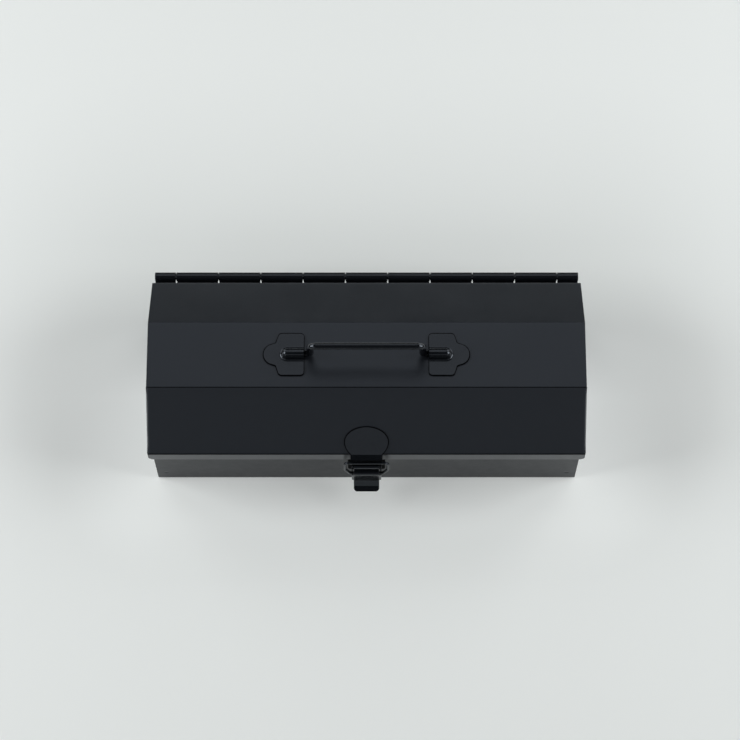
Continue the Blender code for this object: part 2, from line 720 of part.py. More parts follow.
def lever_path():
    """The lever's centre line and half widths, from the curl on the pin down to the finger tab."""
    centre = (-FULCRUM_DEPTH, FULCRUM_Z)
    curl = arc(centre, CURL_RADIUS, 275, 0, 16)
    neck = -FULCRUM_DEPTH + CURL_RADIUS
    face = -LEVER_FACE_DEPTH
    corners = [
        (neck, FULCRUM_Z, 0),
        (neck, SHELF_Z, BEND_RADIUS),
        (face, SHELF_Z, BEND_RADIUS),
        (face, LEVER_FACE_TOP_Z, 0),
        (face, LEVER_FACE_BOTTOM_Z, 0),
        (face, LEVER_FACE_BOTTOM_Z - LATCH_SHEET, 0),
        (face, TAB_KNEE_Z, 2 * BEND_RADIUS),
        (-TAB_BEND_DEPTH, TAB_BEND_Z, BEND_RADIUS),
        (-TAB_END_DEPTH, TAB_END_Z, 0),
    ]
    body = rounded(corners, steps=4)
    widths = [SHELF_HALF_WIDTH] * len(curl)
    tolerance = 0.1 * MM
    for depth, z in body[1:]:
        if z > LEVER_FACE_TOP_Z + tolerance:
            widths.append(SHELF_HALF_WIDTH)
        elif z > LEVER_FACE_BOTTOM_Z - tolerance:
            widths.append(LEVER_HALF_WIDTH)
        else:
            widths.append(TAB_HALF_WIDTH)
    path = curl + body[1:]

    # Short steps along a quarter circle round off the tab's two corners.
    tip = Vector(path.pop())
    widths.pop()
    along = (tip - Vector(path[-1])).normalized()
    for angle in range(0, 91, 15):
        turn = math.radians(angle)
        path.append(tuple(tip - along * TAB_CORNER_RADIUS * (1 - math.sin(turn))))
        widths.append(TAB_HALF_WIDTH - TAB_CORNER_RADIUS * (1 - math.cos(turn)))
    return [(FRONT_Y + depth, z) for depth, z in path], widths


def latch_lever():
    """A pressed lever: a curl on the fulcrum pin, a shelf, a front face and a finger tab, with cheeks."""
    path, widths = lever_path()
    bm = bmesh.new()
    add_ribbon(bm, path, widths, LATCH_SHEET)
    lever = make_object("latch_lever", bm)

    # The cheeks' front edges are buried in the front face.
    face = FRONT_Y - LEVER_FACE_DEPTH
    corners = [(face, CHEEK_ROOT_TOP_Z, 0)]
    for depth, z in (CHEEK_UPPER, CHEEK_MIDDLE, CHEEK_LOWER):
        corners.append((FRONT_Y - depth, z, CHEEK_CORNER_RADIUS))
    corners.append((face, CHEEK_ROOT_BOTTOM_Z, 0))
    outline = rounded(corners, closed=True)
    cheeks = bmesh.new()
    for side in (-1, 1):
        add_prism(cheeks, outline, side * CHEEK_X, side * (CHEEK_X + LATCH_SHEET))
    combine(lever, make_object("latch_lever_cheeks", cheeks), "UNION")

    holes = bmesh.new()
    y = FRONT_Y - BAIL_PIVOT_DEPTH
    for side in (-1, 1):
        start = (side * (CHEEK_X - SHEET), y, BAIL_PIVOT_Z)
        end = (side * (CHEEK_X + 2 * SHEET), y, BAIL_PIVOT_Z)
        add_cylinder(holes, start, end, BAIL_WIRE_RADIUS + GAP, 16)
    combine(lever, make_object("latch_lever_holes", holes), "DIFFERENCE")
    return lever


def latch_bail():
    """The wire loop that the lever pulls down; its two ends turn in through the lever's cheeks."""
    start = Vector((FRONT_Y - BAIL_PIVOT_DEPTH, BAIL_PIVOT_Z))
    end = Vector((FRONT_Y - BAIL_TOP_DEPTH, BAIL_TOP_Z))
    length = (end - start).length
    along = (end - start).normalized()
    left_half = [
        (-BAIL_FOOT_END_X, 0, 0),
        (-BAIL_FOOT_X, 0, BAIL_FOOT_BEND),
        (-BAIL_HALF_WIDTH, BAIL_TAPER_LENGTH, BAIL_TAPER_BEND),
        (-BAIL_HALF_WIDTH, length, BAIL_TOP_BEND),
    ]
    corners = left_half + [(-x, reach, radius) for x, reach, radius in left_half[::-1]]
    points = []
    for x, reach in rounded(corners, steps=5):
        place = start + along * reach
        points.append((x, place.x, place.y))
    return rod("latch_bail", points, BAIL_WIRE_RADIUS)


# ---------------------------------------------------------------- assembly


def build():
    for obj in list(bpy.data.objects):
        bpy.data.objects.remove(obj, do_unlink=True)

    base = [
        base_wrap(),
        base_end("base_end_left", -1),
        base_end("base_end_right", 1),
    ]
    lid = [
        lid_sheet(),
        lid_end("lid_end_left", -1),
        lid_end("lid_end_right", 1),
        handle_ear("handle_ear_left", -1),
        handle_ear("handle_ear_right", 1),
        catch_plate(),
    ]
    base_fittings = [base_hinge_leaf(), latch_mount_plate()]
    rivets = [latch_mount_rivet(name, x, z) for name, (x, z) in RIVETS.items()]
    lid_leaf = lid_hinge_leaf()
    pins = [hinge_pin(), lever_fulcrum_pin()]
    carrying_handle = handle()
    lever = latch_lever()
    bail = latch_bail()

    for piece in base + lid:
        finish(piece, BLACK_PAINT, 0.45, 0.0)
    for piece in base_fittings + [lid_leaf, lever]:
        finish(piece, BLACK_PAINT, 0.38, 0.0)
    for piece in pins + rivets + [carrying_handle, bail]:
        finish(piece, BLACK_STEEL, 0.25, 0.3)

    pivot("lid_axis", (0, HINGE_Y, HINGE_Z), lid + [lid_leaf])
    pivot("handle_axis", (0, 0, HANDLE_Z), [carrying_handle])
    pivot("lever_axis", (0, FRONT_Y - FULCRUM_DEPTH, FULCRUM_Z), [lever])
    pivot("bail_axis", (0, FRONT_Y - BAIL_PIVOT_DEPTH, BAIL_PIVOT_Z), [bail])


build()
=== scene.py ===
"""Looks for the camber-top steel tool box: fine painted sheet-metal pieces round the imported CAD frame.

World frame: +X to the right as seen from the front, +Y to the rear, +Z up. Metres.
Each sheet piece is drawn as its middle surface, then given its thickness and rounded raw edges.
"""

import json
import math

import bmesh
import bpy
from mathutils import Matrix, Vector, noise


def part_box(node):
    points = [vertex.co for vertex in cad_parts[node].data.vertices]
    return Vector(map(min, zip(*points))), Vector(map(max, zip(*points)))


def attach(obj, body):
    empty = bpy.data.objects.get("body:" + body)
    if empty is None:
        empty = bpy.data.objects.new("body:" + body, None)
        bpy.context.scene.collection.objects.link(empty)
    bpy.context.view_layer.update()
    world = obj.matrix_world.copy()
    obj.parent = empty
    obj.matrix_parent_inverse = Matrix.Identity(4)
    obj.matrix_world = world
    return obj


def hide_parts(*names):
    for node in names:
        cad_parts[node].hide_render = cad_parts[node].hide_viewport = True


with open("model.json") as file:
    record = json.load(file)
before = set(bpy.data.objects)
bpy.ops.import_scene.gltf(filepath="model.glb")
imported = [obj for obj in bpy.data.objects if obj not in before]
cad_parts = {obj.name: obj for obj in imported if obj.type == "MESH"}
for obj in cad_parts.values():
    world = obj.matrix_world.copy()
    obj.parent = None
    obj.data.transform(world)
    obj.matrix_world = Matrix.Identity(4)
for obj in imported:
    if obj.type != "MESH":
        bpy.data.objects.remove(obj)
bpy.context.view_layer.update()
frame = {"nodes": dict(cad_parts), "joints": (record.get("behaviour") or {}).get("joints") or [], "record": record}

# ---------------------------------------------------------------- sizes

MM = 0.001
GAP = 0.3 * MM
SHEET = 1.0 * MM
LATCH_SHEET = 0.8 * MM
BEND_RADIUS = 1.5 * MM
HEM_RADIUS = 0.75 * MM
HEM_DROP = 7.2 * MM
FLANGE = 10 * MM
PANEL_STEP = 6 * MM
WAVE_HEIGHT = 0.12 * MM
WAVE_LENGTH = 60 * MM

JOINT_AT = {joint["name"]: Vector(joint["pos_m"]) for joint in frame["joints"]}

# Lid: a flat top between two slopes, with a lip below each slope
LID_LOW, LID_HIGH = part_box("lid_sheet")
LID_END = LID_HIGH.x
LID_HALF = LID_HIGH.y
LIP_BOTTOM = LID_LOW.z
TOP = LID_HIGH.z
CROWN = 28.1 * MM
CREASE_Z = TOP - 31.7 * MM
LIP_CORNER = 5.2 * MM
TURN_RADIUS = 0.9 * MM
TURN_LENGTH = 3.6 * MM
TURN_DEG = 73
LID_END_RECESS = 0.9 * MM

# Base: one sheet folded into the walls and the bottom, and two end panels
WRAP_LOW, WRAP_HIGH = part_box("base_wrap")
BASE_END = WRAP_HIGH.x
BASE_HALF = WRAP_HIGH.y
RIM = WRAP_HIGH.z
FRONT_Y = WRAP_LOW.y
WELD_INSET = 8 * MM
WELD_HEIGHTS = (16 * MM, 61 * MM)
WELD_RADIUS = 2.4 * MM
WELD_DEPTH = 0.25 * MM

# Continuous hinge
HINGE = JOINT_AT["lid_hinge"]
HINGE_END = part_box("hinge_pin")[1].x
HINGE_PIN_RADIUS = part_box("hinge_pin")[1].y - HINGE.y
BARREL_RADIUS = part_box("base_hinge_leaf")[1].y - HINGE.y
LEAF_UNDER = HINGE.z - BARREL_RADIUS + SHEET / 2
LEAF_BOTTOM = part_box("base_hinge_leaf")[0].z
FULL_KNUCKLES = 9
KNUCKLE_PITCH = 2 * HINGE_END / (FULL_KNUCKLES + 1)
KNUCKLE_GAP = 0.5 * MM
LEAF_STEP_Y = HINGE.y - 5.8 * MM
RELIEF_HALF = 0.55 * MM

# Handle and its ears
HANDLE_Z = JOINT_AT["handle_pivot"].z
ROD_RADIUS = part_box("handle")[1].y
FOOT_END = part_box("handle")[1].x
HANDLE_LEAN = math.radians(8.8)
HANDLE_REACH = 30 * MM
HANDLE_HALF_WIDTH = FOOT_END - 16.3 * MM
EAR_LOW, EAR_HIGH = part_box("handle_ear_right")
EAR_SHOULDER_X = EAR_LOW.x + 20.9 * MM
EAR_LOBE_DEG = 72
EAR_NOTCH_RUN = 4.0 * MM
EAR_NOTCH_RADIUS = 2.0 * MM
EAR_CORNER_RADIUS = 3.5 * MM
EAR_LOBE_RADIUS = 9.3 * MM
EAR_LOBE_X = EAR_HIGH.x - EAR_LOBE_RADIUS
EAR_BARREL_RADIUS = EAR_HIGH.z - HANDLE_Z
EAR_BARREL_END_X = EAR_LOW.x + 14.1 * MM
EAR_PLATE_Z = TOP + GAP + SHEET / 2

# Catch plate
CATCH_LOW, CATCH_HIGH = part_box("catch_plate")
CATCH_HALF = CATCH_HIGH.x
CATCH_NECK = 13.1 * MM
CATCH_HEAD_LENGTH = 13.1 * MM
CATCH_NECK_LENGTH = 11.0 * MM
CATCH_NOSE = (4.3 * MM, 3.9 * MM)
CATCH_LIP = (1.4 * MM, 8.3 * MM)
CATCH_END = 1.7 * MM

# Width of the painted shade line round a plate that lies on the lid
SHADE_LINE = 0.8 * MM

# Latch: a lever on a fulcrum pin, with a wire bail
FULCRUM = JOINT_AT["lever_pivot"]
BAIL_AT = JOINT_AT["bail_pivot"]
BAIL_WIRE = 1.2 * MM
BAIL_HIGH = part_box("latch_bail")[1]
BAIL_HALF = BAIL_HIGH.x - BAIL_WIRE
CURL_RADIUS = 1.35 * MM
SHELF_Z = FULCRUM.z - 8.8 * MM
FACE_Y = FULCRUM.y - 3.8 * MM
FACE_TOP = FULCRUM.z - 11.0 * MM
FACE_BOTTOM = FULCRUM.z - 23.6 * MM
FACE_HALF = 11.4 * MM
CHEEK_BEND = 0.5 * MM
SHELF_HALF = 10.3 * MM
TAB_HALF = 10.6 * MM
TAB_CORNER = 3 * MM
LEVER_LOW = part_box("latch_lever")[0]
SLIT_Z = FULCRUM.z - 15.1 * MM
SLIT_HALF = 5.7 * MM
SLIT_HEIGHT = 1.6 * MM
SLIT_ARCH = 0.9 * MM
MOUNT_LOW, MOUNT_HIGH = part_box("latch_mount_plate")
MOUNT_EAR = 2.1 * MM
MOUNT_EAR_X = 11.25 * MM
MOUNT_SLIT = 0.6 * MM

# Pieces whose finish differs from their material slot's: the walls get a less shiny copy of the shell paint, painted
# shade under the lid's lip, and the latch's bracket gets the black, painted shade
OWN_FINISH = {"base_wrap": "shaded_wall_paint", "latch_mount_plate": "painted_shade_black"}

# Tint of the paint's sheen
COOL_SHEEN = (0.90, 1.0, 1.14)

# Camera: its angle above the horizon, its distance, and a lens for a 36 mm sensor
VIEW_ELEVATION = math.radians(70.65)
VIEW_DISTANCE = 2.239
VIEW_TARGET = Vector((0.0029, 0.0058, 0.0539))
VIEW_LENS = 130.1

# Reflections see a pale floor that ends not far in front of the box, so that the low ones are dark.
FLOOR_HALF_WIDTH = 1.6
FLOOR_FRONT = -0.62
FLOOR_REAR = 2.4
FLOOR_REACH = 4.0
FLOOR_FADE = (0.6, 1.4)
# Painted shadow on the floor behind the box, and painted light (a glow) on it in front: their reaches and the glow's
# strength
SHADE_REACH = 0.25
GLOW_REACH = 0.09
FLOOR_GLOW = 0.2


# ---------------------------------------------------------------- outlines


def arc(centre, radius, start_deg, end_deg, steps):
    """Points on an arc, both ends included."""
    points = []
    for i in range(steps + 1):
        angle = math.radians(start_deg + (end_deg - start_deg) * i / steps)
        points.append((centre[0] + radius * math.cos(angle), centre[1] + radius * math.sin(angle)))
    return points


def rounded(corners, closed=False, steps=8):
    """A path with each corner (u, v, radius) replaced by an arc. A radius of 0 keeps it sharp."""
    points = []
    count = len(corners)
    for i, (u, v, radius) in enumerate(corners):
        here = Vector((u, v))
        at_end = not closed and i in (0, count - 1)
        if at_end or radius == 0:
            points.append((u, v))
            continue
        to_before = (Vector(corners[i - 1][:2]) - here).normalized()
        to_after = (Vector(corners[(i + 1) % count][:2]) - here).normalized()
        half = to_before.angle(to_after) / 2
        centre = here + (to_before + to_after).normalized() * (radius / math.sin(half))
        first = here + to_before * (radius / math.tan(half)) - centre
        last = here + to_after * (radius / math.tan(half)) - centre
        turn = math.atan2(first.x * last.y - first.y * last.x, first.dot(last))
        begin = math.atan2(first.y, first.x)
        points += arc(centre, radius, math.degrees(begin), math.degrees(begin + turn), steps)
    return points


def offset(path, distance):
    """An open path moved sideways, to its left for a positive distance."""
    moved = []
    for i, point in enumerate(path):
        before = Vector(path[max(i - 1, 0)])
        after = Vector(path[min(i + 1, len(path) - 1)])
        here = Vector(point)
        into = (here - before).normalized() if i > 0 else (after - here).normalized()
        out = (after - here).normalized() if i < len(path) - 1 else into
        normal = Vector((-into.y - out.y, into.x + out.x)).normalized()
        along = max(normal.dot(Vector((-into.y, into.x))), 0.2)
        moved.append(tuple(here + normal * (distance / along)))
    return moved


def divided(path, step):
    """The path with extra points, so that no stretch of it is much longer than a step."""
    points = [path[0]]
    for start, end in zip(path, path[1:]):
        first, last = Vector(start), Vector(end)
        pieces = max(1, round((last - first).length / step))
        for i in range(1, pieces + 1):
            points.append(tuple(first.lerp(last, i / pieces)))
    return points


def stations(low, high, step, extra=()):
    """Even places from low to high, with extra ones added where detail is needed."""
    count = max(1, round((high - low) / step))
    places = [low + (high - low) * i / count for i in range(count + 1)] + list(extra)
    kept = []
    for place in sorted(places):
        if not kept or place - kept[-1] > 0.05 * MM:
            kept.append(place)
    return kept


def eased(share):
    """A share from 0 to 1 with level ends."""
    share = min(max(share, 0.0), 1.0)
    return share * share * (3 - 2 * share)


def between(value, table):
    """Reads a value off a short table of (place, value) pairs in rising order of place."""
    for (low, first), (high, second) in zip(table, table[1:]):
        if value <= high:
            share = min(max((value - low) / (high - low), 0), 1)
            return first + (second - first) * share
    return table[-1][1]


def wave(x, y, z):
    """How far thin sheet stands off flat at a place."""
    return WAVE_HEIGHT * noise.noise(Vector((x, y, z)) / WAVE_LENGTH)


# ---------------------------------------------------------------- meshes


def mesh_object(name, bm):
    """Turns a bmesh into a smooth-shaded object."""
    loose = [vert for vert in bm.verts if not vert.link_faces]
    bmesh.ops.delete(bm, geom=loose, context="VERTS")
    bmesh.ops.recalc_face_normals(bm, faces=bm.faces)
    mesh = bpy.data.meshes.new(name)
    bm.to_mesh(mesh)
    bm.free()
    mesh.shade_smooth()
    obj = bpy.data.objects.new(name, mesh)
    bpy.context.scene.collection.objects.link(obj)
    return obj


def add_grid(bm, rows, keep=None, dark=None):
    """Adds faces between rows of points.

    keep(row, column) leaves some faces out, and dark(row, column) gives some the piece's second material, the
    painted shade black.
    """
    verts = [[bm.verts.new(point) for point in row] for row in rows]
    for i in range(len(rows) - 1):
        for k in range(len(rows[i]) - 1):
            if keep is None or keep(i, k):
                face = bm.faces.new((verts[i][k], verts[i][k + 1], verts[i + 1][k + 1], verts[i + 1][k]))
                face.material_index = 1 if dark is not None and dark(i, k) else 0
    return verts


def sheet_object(name, bm, thickness=SHEET, painted_shade_edges=False):
    """Gives a middle surface its thickness, rounded raw edges and evenly shaded flat faces.

    Dark edges take the piece's second material, the painted shade black, for the shade line round a plate that lies
    on another.
    """
    bmesh.ops.remove_doubles(bm, verts=bm.verts, dist=0.002 * MM)
    obj = mesh_object(name, bm)
    solid = obj.modifiers.new("Thickness", "SOLIDIFY")
    solid.thickness = thickness
    solid.offset = 0
    solid.use_even_offset = True
    solid.use_quality_normals = True
    bevel = obj.modifiers.new("Raw_edges", "BEVEL")
    bevel.width = 0.32 * thickness
    bevel.segments = 3
    bevel.limit_method = "ANGLE"
    bevel.angle_limit = math.radians(50)
    bevel.use_clamp_overlap = False
    # Painted shade: the rims and rounded edges take the black second material.
    if painted_shade_edges:
        solid.material_offset_rim = 1
        bevel.material = 1
        bevel.width = 0.45 * thickness
    weighted = obj.modifiers.new("Even_shading", "WEIGHTED_NORMAL")
    weighted.mode = "FACE_AREA_WITH_ANGLE"
    weighted.weight = 60
    return obj


def turned(name, profile, centre, axis, steps=40):
    """A lathe-turned piece: (along, radius) points spun round an axis through a centre."""
    along = Vector(axis).normalized()
    side = along.orthogonal().normalized()
    bm = bmesh.new()
    verts = [bm.verts.new(Vector(centre) + along * a + side * r) for a, r in profile]
    edges = [bm.edges.new(pair) for pair in zip(verts, verts[1:])]
    bmesh.ops.spin(bm, geom=verts + edges, cent=centre, axis=along, angle=math.tau, steps=steps,
                   use_duplicate=False)
    bmesh.ops.remove_doubles(bm, verts=bm.verts, dist=0.001 * MM)
    obj = mesh_object(name, bm)
    obj.data.set_sharp_from_angle(angle=math.radians(40))
    return obj


def rounded_end(place, inward, radius, cut):
    """Places and radii along a rod's end, whose rim is rounded by a cut radius."""
    turns = [math.radians(90 * i / 4) for i in range(5)]
    return [(place + inward * cut * (1 - math.cos(a)), radius - cut * (1 - math.sin(a))) for a in turns]


def tube(name, points, radius, across, segments=28, end_round=0.4):
    """A round rod along points in one plane, square to the direction across, with rounded ends."""
    path = [Vector(point) for point in points]
    flat = Vector(across).normalized()
    start_way = (path[1] - path[0]).normalized()
    end_way = (path[-1] - path[-2]).normalized()
    cut = end_round * radius
    places = [(p, start_way, r) for p, r in rounded_end(path[0], start_way, radius, cut)]
    for before, here, after in zip(path, path[1:], path[2:]):
        places.append((here, (after - before).normalized(), radius))
    places += [(p, end_way, r) for p, r in reversed(rounded_end(path[-1], -end_way, radius, cut))]
    bm = bmesh.new()
    rings = []
    for centre, way, size in places:
        side = way.cross(flat).normalized()
        ring = []
        for i in range(segments):
            angle = math.tau * i / segments
            ring.append(bm.verts.new(centre + (side * math.cos(angle) + flat * math.sin(angle)) * size))
        rings.append(ring)
    for first, second in zip(rings, rings[1:]):
        for k in range(segments):
            m = (k + 1) % segments
            bm.faces.new((first[k], first[m], second[m], second[k]))
    bm.faces.new(rings[0][::-1])
    bm.faces.new(rings[-1])
    obj = mesh_object(name, bm)
    obj.data.set_sharp_from_angle(angle=math.radians(50))
    return obj


# ---------------------------------------------------------------- lid


def lid_line(depth, steps=8):
    """The lid's profile in the YZ plane at a depth under its outer surface, front lip to rear lip."""
    front = [(-LID_HALF, LIP_BOTTOM), (-LID_HALF, CREASE_Z), (-CROWN, TOP)]
    corners = front + [(-y, z) for y, z in front[::-1]]
    radius = max(BEND_RADIUS + SHEET / 2 - depth, 0.3 * MM)
    return rounded([(y, z, radius) for y, z in offset(corners, -depth)], steps=steps)


def turn_section(steps=5):
    """The turned-down end of the front slope: (distance in from the end, drop under the slope)."""
    full = math.radians(TURN_DEG)
    reach = math.sin(full) * TURN_RADIUS + math.cos(full) * TURN_LENGTH
    section = [(reach + 0.2 * MM, 0.0)]
    for i in range(steps + 1):
        angle = full * i / steps
        section.append((reach - math.sin(angle) * TURN_RADIUS, (1 - math.cos(angle)) * TURN_RADIUS))
    bend_in, bend_drop = section[-1]
    for run in (TURN_LENGTH / 2, TURN_LENGTH):
        section.append((bend_in - math.cos(full) * run, bend_drop + math.sin(full) * run))
    return section


def lip_bottom(x):
    """Height of the lip's lower edge, which is rounded off at both ends of the lid."""
    past = abs(x) - (LID_END - LIP_CORNER)
    if past <= 0:
        return LIP_BOTTOM
    return LIP_BOTTOM + LIP_CORNER - math.sqrt(max(LIP_CORNER ** 2 - past ** 2, 0))


def lid_sheet():
    """Lip, slope, flat top, slope and lip, folded from one sheet whose front slope turns down at its ends."""
    section = turn_section()
    inner_end = LID_END - section[0][0]
    corner = [side * (LID_END - inset * MM) for inset in (5.2, 4.7, 4.2, 3.7, 3.2, 2.8) for side in (-1, 1)]
    flat = stations(-inner_end, inner_end, PANEL_STEP, corner)
    slope = Vector((LID_HALF - CROWN, TOP - CREASE_Z)).normalized()
    under = Vector((slope.y, -slope.x))
    crease = Vector((-LID_HALF, CREASE_Z))
    slope_length = (Vector((-CROWN, TOP)) - crease).length
    bends = [Vector((y, z)) for y, z in ((-LID_HALF, CREASE_Z), (-CROWN, TOP), (CROWN, TOP), (LID_HALF, CREASE_Z))]
    spread = [section[0][0] * (1 - (i + 1) / (len(section) - 1)) for i in range(len(section) - 1)]

    path = divided(lid_line(SHEET / 2, 4), PANEL_STEP)
    rows = []
    for i, point in enumerate(path):
        here = Vector(point)
        up_slope = (here - crease).dot(slope)
        turn = 0.0
        if here.x < -CROWN and here.y > CREASE_Z:
            turn = eased((min(up_slope, slope_length - up_slope) - 1.0 * MM) / (2.5 * MM))
        end = []
        for plain, (inset, drop) in zip(spread, section[1:]):
            end.append((LID_END - plain * (1 - turn) - inset * turn, drop * turn))
        places = [(-x, drop) for x, drop in end[::-1]] + [(x, 0.0) for x in flat] + end
        flatness = eased((min((here - bend).length for bend in bends) - 2 * MM) / (14 * MM))
        row = []
        for x, drop in places:
            y, z = here + under * drop
            if i in (0, len(path) - 1):
                z = lip_bottom(x)
            elif z > CREASE_Z:
                z += wave(x, y, z) * flatness * eased((LID_END - abs(x)) / (12 * MM))
            row.append((x, y, z))
        rows.append(row)

    def dark(row, column):
        """Painted shade: the faces along the front slope's lower and upper creases take the black second material.
        """
        middle = (Vector(path[row]) + Vector(path[row + 1])) / 2
        if middle.x > 0:
            return False
        return (middle - bends[0]).length < 0.95 * MM or (middle - bends[1]).length < 0.7 * MM

    bm = bmesh.new()
    add_grid(bm, rows, dark=dark)
    return sheet_object("lid_sheet_skin", bm)


def lid_end(side):
    """One end of the lid: a recessed panel with a flange under the top and the rear slope."""
    plate = LID_END - GAP - LID_END_RECESS - SHEET / 2
    under_sheet = SHEET + GAP
    bend = 1.0 * MM
    columns = [(0, plate - FLANGE), (0, plate - FLANGE / 2)]
    for angle in range(0, 91, 15):
        turn = math.radians(angle)
        columns.append((bend * (1 - math.cos(turn)), plate - bend + bend * math.sin(turn)))
    lines = [lid_line(under_sheet + SHEET / 2 + drop) for drop, x in columns]
    first = -CROWN + 3 * MM
    rows = [[(side * x, first, TOP - under_sheet - SHEET / 2 - drop) for drop, x in columns]]
    for i, (y, z) in enumerate(lines[0]):
        if y > first and z > CREASE_Z + 3 * MM:
            rows.append([(side * x, *line[i]) for (drop, x), line in zip(columns, lines)])
    last = rows[-1]
    toward = Vector((0, LID_HALF - CROWN, CREASE_Z - TOP)).normalized() * (FLANGE * 4)
    rows.append([Vector(point) + toward for point in last])
    bm = bmesh.new()
    verts = add_grid(bm, rows)

    # The flat panel joins the flange's inner edge, and hangs free below the slopes.
    ring = [row[-1] for row in verts]
    lip = LID_HALF - under_sheet
    low = LIP_BOTTOM + 0.2 * MM
    slope = Vector((LID_HALF - CROWN, TOP - CREASE_Z)).normalized()
    clear = Vector((slope.y, -slope.x)) * 4.7 * MM
    crease = Vector((-LID_HALF, CREASE_Z)) + clear
    crown = Vector((-CROWN, TOP)) + clear - slope * 2 * MM
    crease += slope * ((-lip - crease.x) / slope.x)
    around = [(lip, CREASE_Z - 2 * MM), (lip, low + 4 * MM), (lip - 4 * MM, low), (-lip + 4 * MM, low)]
    around += [(-lip, low + 4 * MM), (-lip, crease.y), (crown.x, crown.y)]
    extra = [bm.verts.new((side * plate, y, z)) for y, z in around]
    bm.faces.new(ring + extra)
    return sheet_object(("lid_end_left_skin", "lid_end_right_skin")[side > 0], bm)


def catch_half_width(down):
    """Half width of the catch plate at a distance down the slope from its top."""
    below_widest = down - CATCH_HEAD_LENGTH
    if below_widest < 0:
        return CATCH_HALF * math.sqrt(max(1 - (below_widest / CATCH_HEAD_LENGTH) ** 2, 0.0))
    narrowing = 1 - (CATCH_NECK / CATCH_HALF) ** 2
    return CATCH_HALF * math.sqrt(1 - narrowing * min(below_widest / CATCH_NECK_LENGTH, 1) ** 2)


def catch_plate():
    """The spade-shaped plate on the front slope; its neck stands out in a nose and ends behind the bail."""
    slope = Vector((LID_HALF - CROWN, TOP - CREASE_Z)).normalized()
    raised = Vector((-slope.y, slope.x)) * (GAP + SHEET / 2)
    crease = Vector((-LID_HALF, CREASE_Z)) + raised
    length = CATCH_HEAD_LENGTH + CATCH_NECK_LENGTH
    top = crease + slope * length
    divisions = 30
    path = []
    for i in range(divisions):
        down = length * (1 - math.cos(math.pi / 2 * (i + 0.3) / divisions))
        half = catch_half_width(down)
        widening = (catch_half_width(down + SHADE_LINE / 8) - half) / (SHADE_LINE / 8)
        inner = max(half - SHADE_LINE * math.hypot(1, widening), 0)
        path.append((tuple(top - slope * down), half, inner))
    neck = rounded([
        (top.x, top.y, 0),
        (crease.x, crease.y, BEND_RADIUS),
        (-LID_HALF - CATCH_NOSE[0], CREASE_Z - CATCH_NOSE[1], SHEET),
        (-LID_HALF - CATCH_LIP[0], CREASE_Z - CATCH_LIP[1], SHEET),
        (-LID_HALF - CATCH_END, CATCH_LOW.z, 0),
    ])
    path += [(point, CATCH_NECK, CATCH_NECK) for point in neck[1:] if (Vector(point) - top).length > down]
    rows = []
    for (y, z), half, inner in path:
        places = [-half] + [inner * share / 8 for share in range(-8, 9)] + [half]
        rows.append([(x, y, z) for x in places])
    bm = bmesh.new()
    # Painted shade: the outer band round the plate, and the whole neck below the crease, take the black second
    # material.
    last = len(rows[0]) - 2
    add_grid(bm, rows, dark=lambda row, column: column in (0, last) or rows[row][0][2] < CREASE_Z - MM)
    return sheet_object("catch_plate_skin", bm, painted_shade_edges=True)


# ---------------------------------------------------------------- base


def weld_dent(x, z):
    """Depth of the shallow spot-weld marks on a wall, at a place on it."""
    depth = 0.0
    for height in WELD_HEIGHTS:
        away = math.hypot(abs(x) - (BASE_END - WELD_INSET), z - height)
        depth += WELD_DEPTH * (1 - eased((away - 0.4 * WELD_RADIUS) / (0.7 * WELD_RADIUS)))
    return depth


def base_wrap():
    """Front wall, bottom and rear wall, folded from one sheet with hemmed rims and spot-weld marks."""
    wall = BASE_HALF - SHEET / 2
    rim = RIM - SHEET / 2
    hem = wall - 2 * HEM_RADIUS
    half = [
        (-hem, rim - HEM_DROP, 0),
        (-hem, rim, HEM_RADIUS),
        (-wall, rim, HEM_RADIUS),
        (-wall, SHEET / 2, BEND_RADIUS),
    ]
    fine = [0.6 * MM * i for i in range(-5, 6)]
    path = rounded(half + [(-y, z, radius) for y, z, radius in half[::-1]])
    path = divided(path, PANEL_STEP)
    heights = [height + step for height in WELD_HEIGHTS for step in fine]
    refined = []
    for start, end in zip(path, path[1:]):
        refined.append(start)
        if abs(abs(start[0]) - wall) < 0.01 * MM and abs(start[0] - end[0]) < 0.01 * MM:
            low, high = sorted((start[1], end[1]))
            inside = sorted(z for z in heights if low + 0.1 * MM < z < high - 0.1 * MM)
            if start[1] > end[1]:
                inside.reverse()
            refined += [(start[0], z) for z in inside]
    refined.append(path[-1])
    columns = [side * (BASE_END - WELD_INSET) + step for side in (-1, 1) for step in fine]
    xs = stations(-BASE_END, BASE_END, PANEL_STEP, columns)
    rows = []
    for y, z in refined:
        on_wall = abs(abs(y) - wall) < 0.01 * MM
        flatness = eased(min(z - 3 * MM, RIM - z - 3 * MM) / (12 * MM)) if on_wall else 0
        row = []
        for x in xs:
            inward = weld_dent(x, z) if on_wall else 0.0
            inward += wave(x, y, z) * flatness * eased((BASE_END - abs(x)) / (15 * MM))
            row.append((x, y - math.copysign(inward, y), z))
        rows.append(row)
    bm = bmesh.new()
    add_grid(bm, rows)
    return sheet_object("base_wrap_skin", bm)


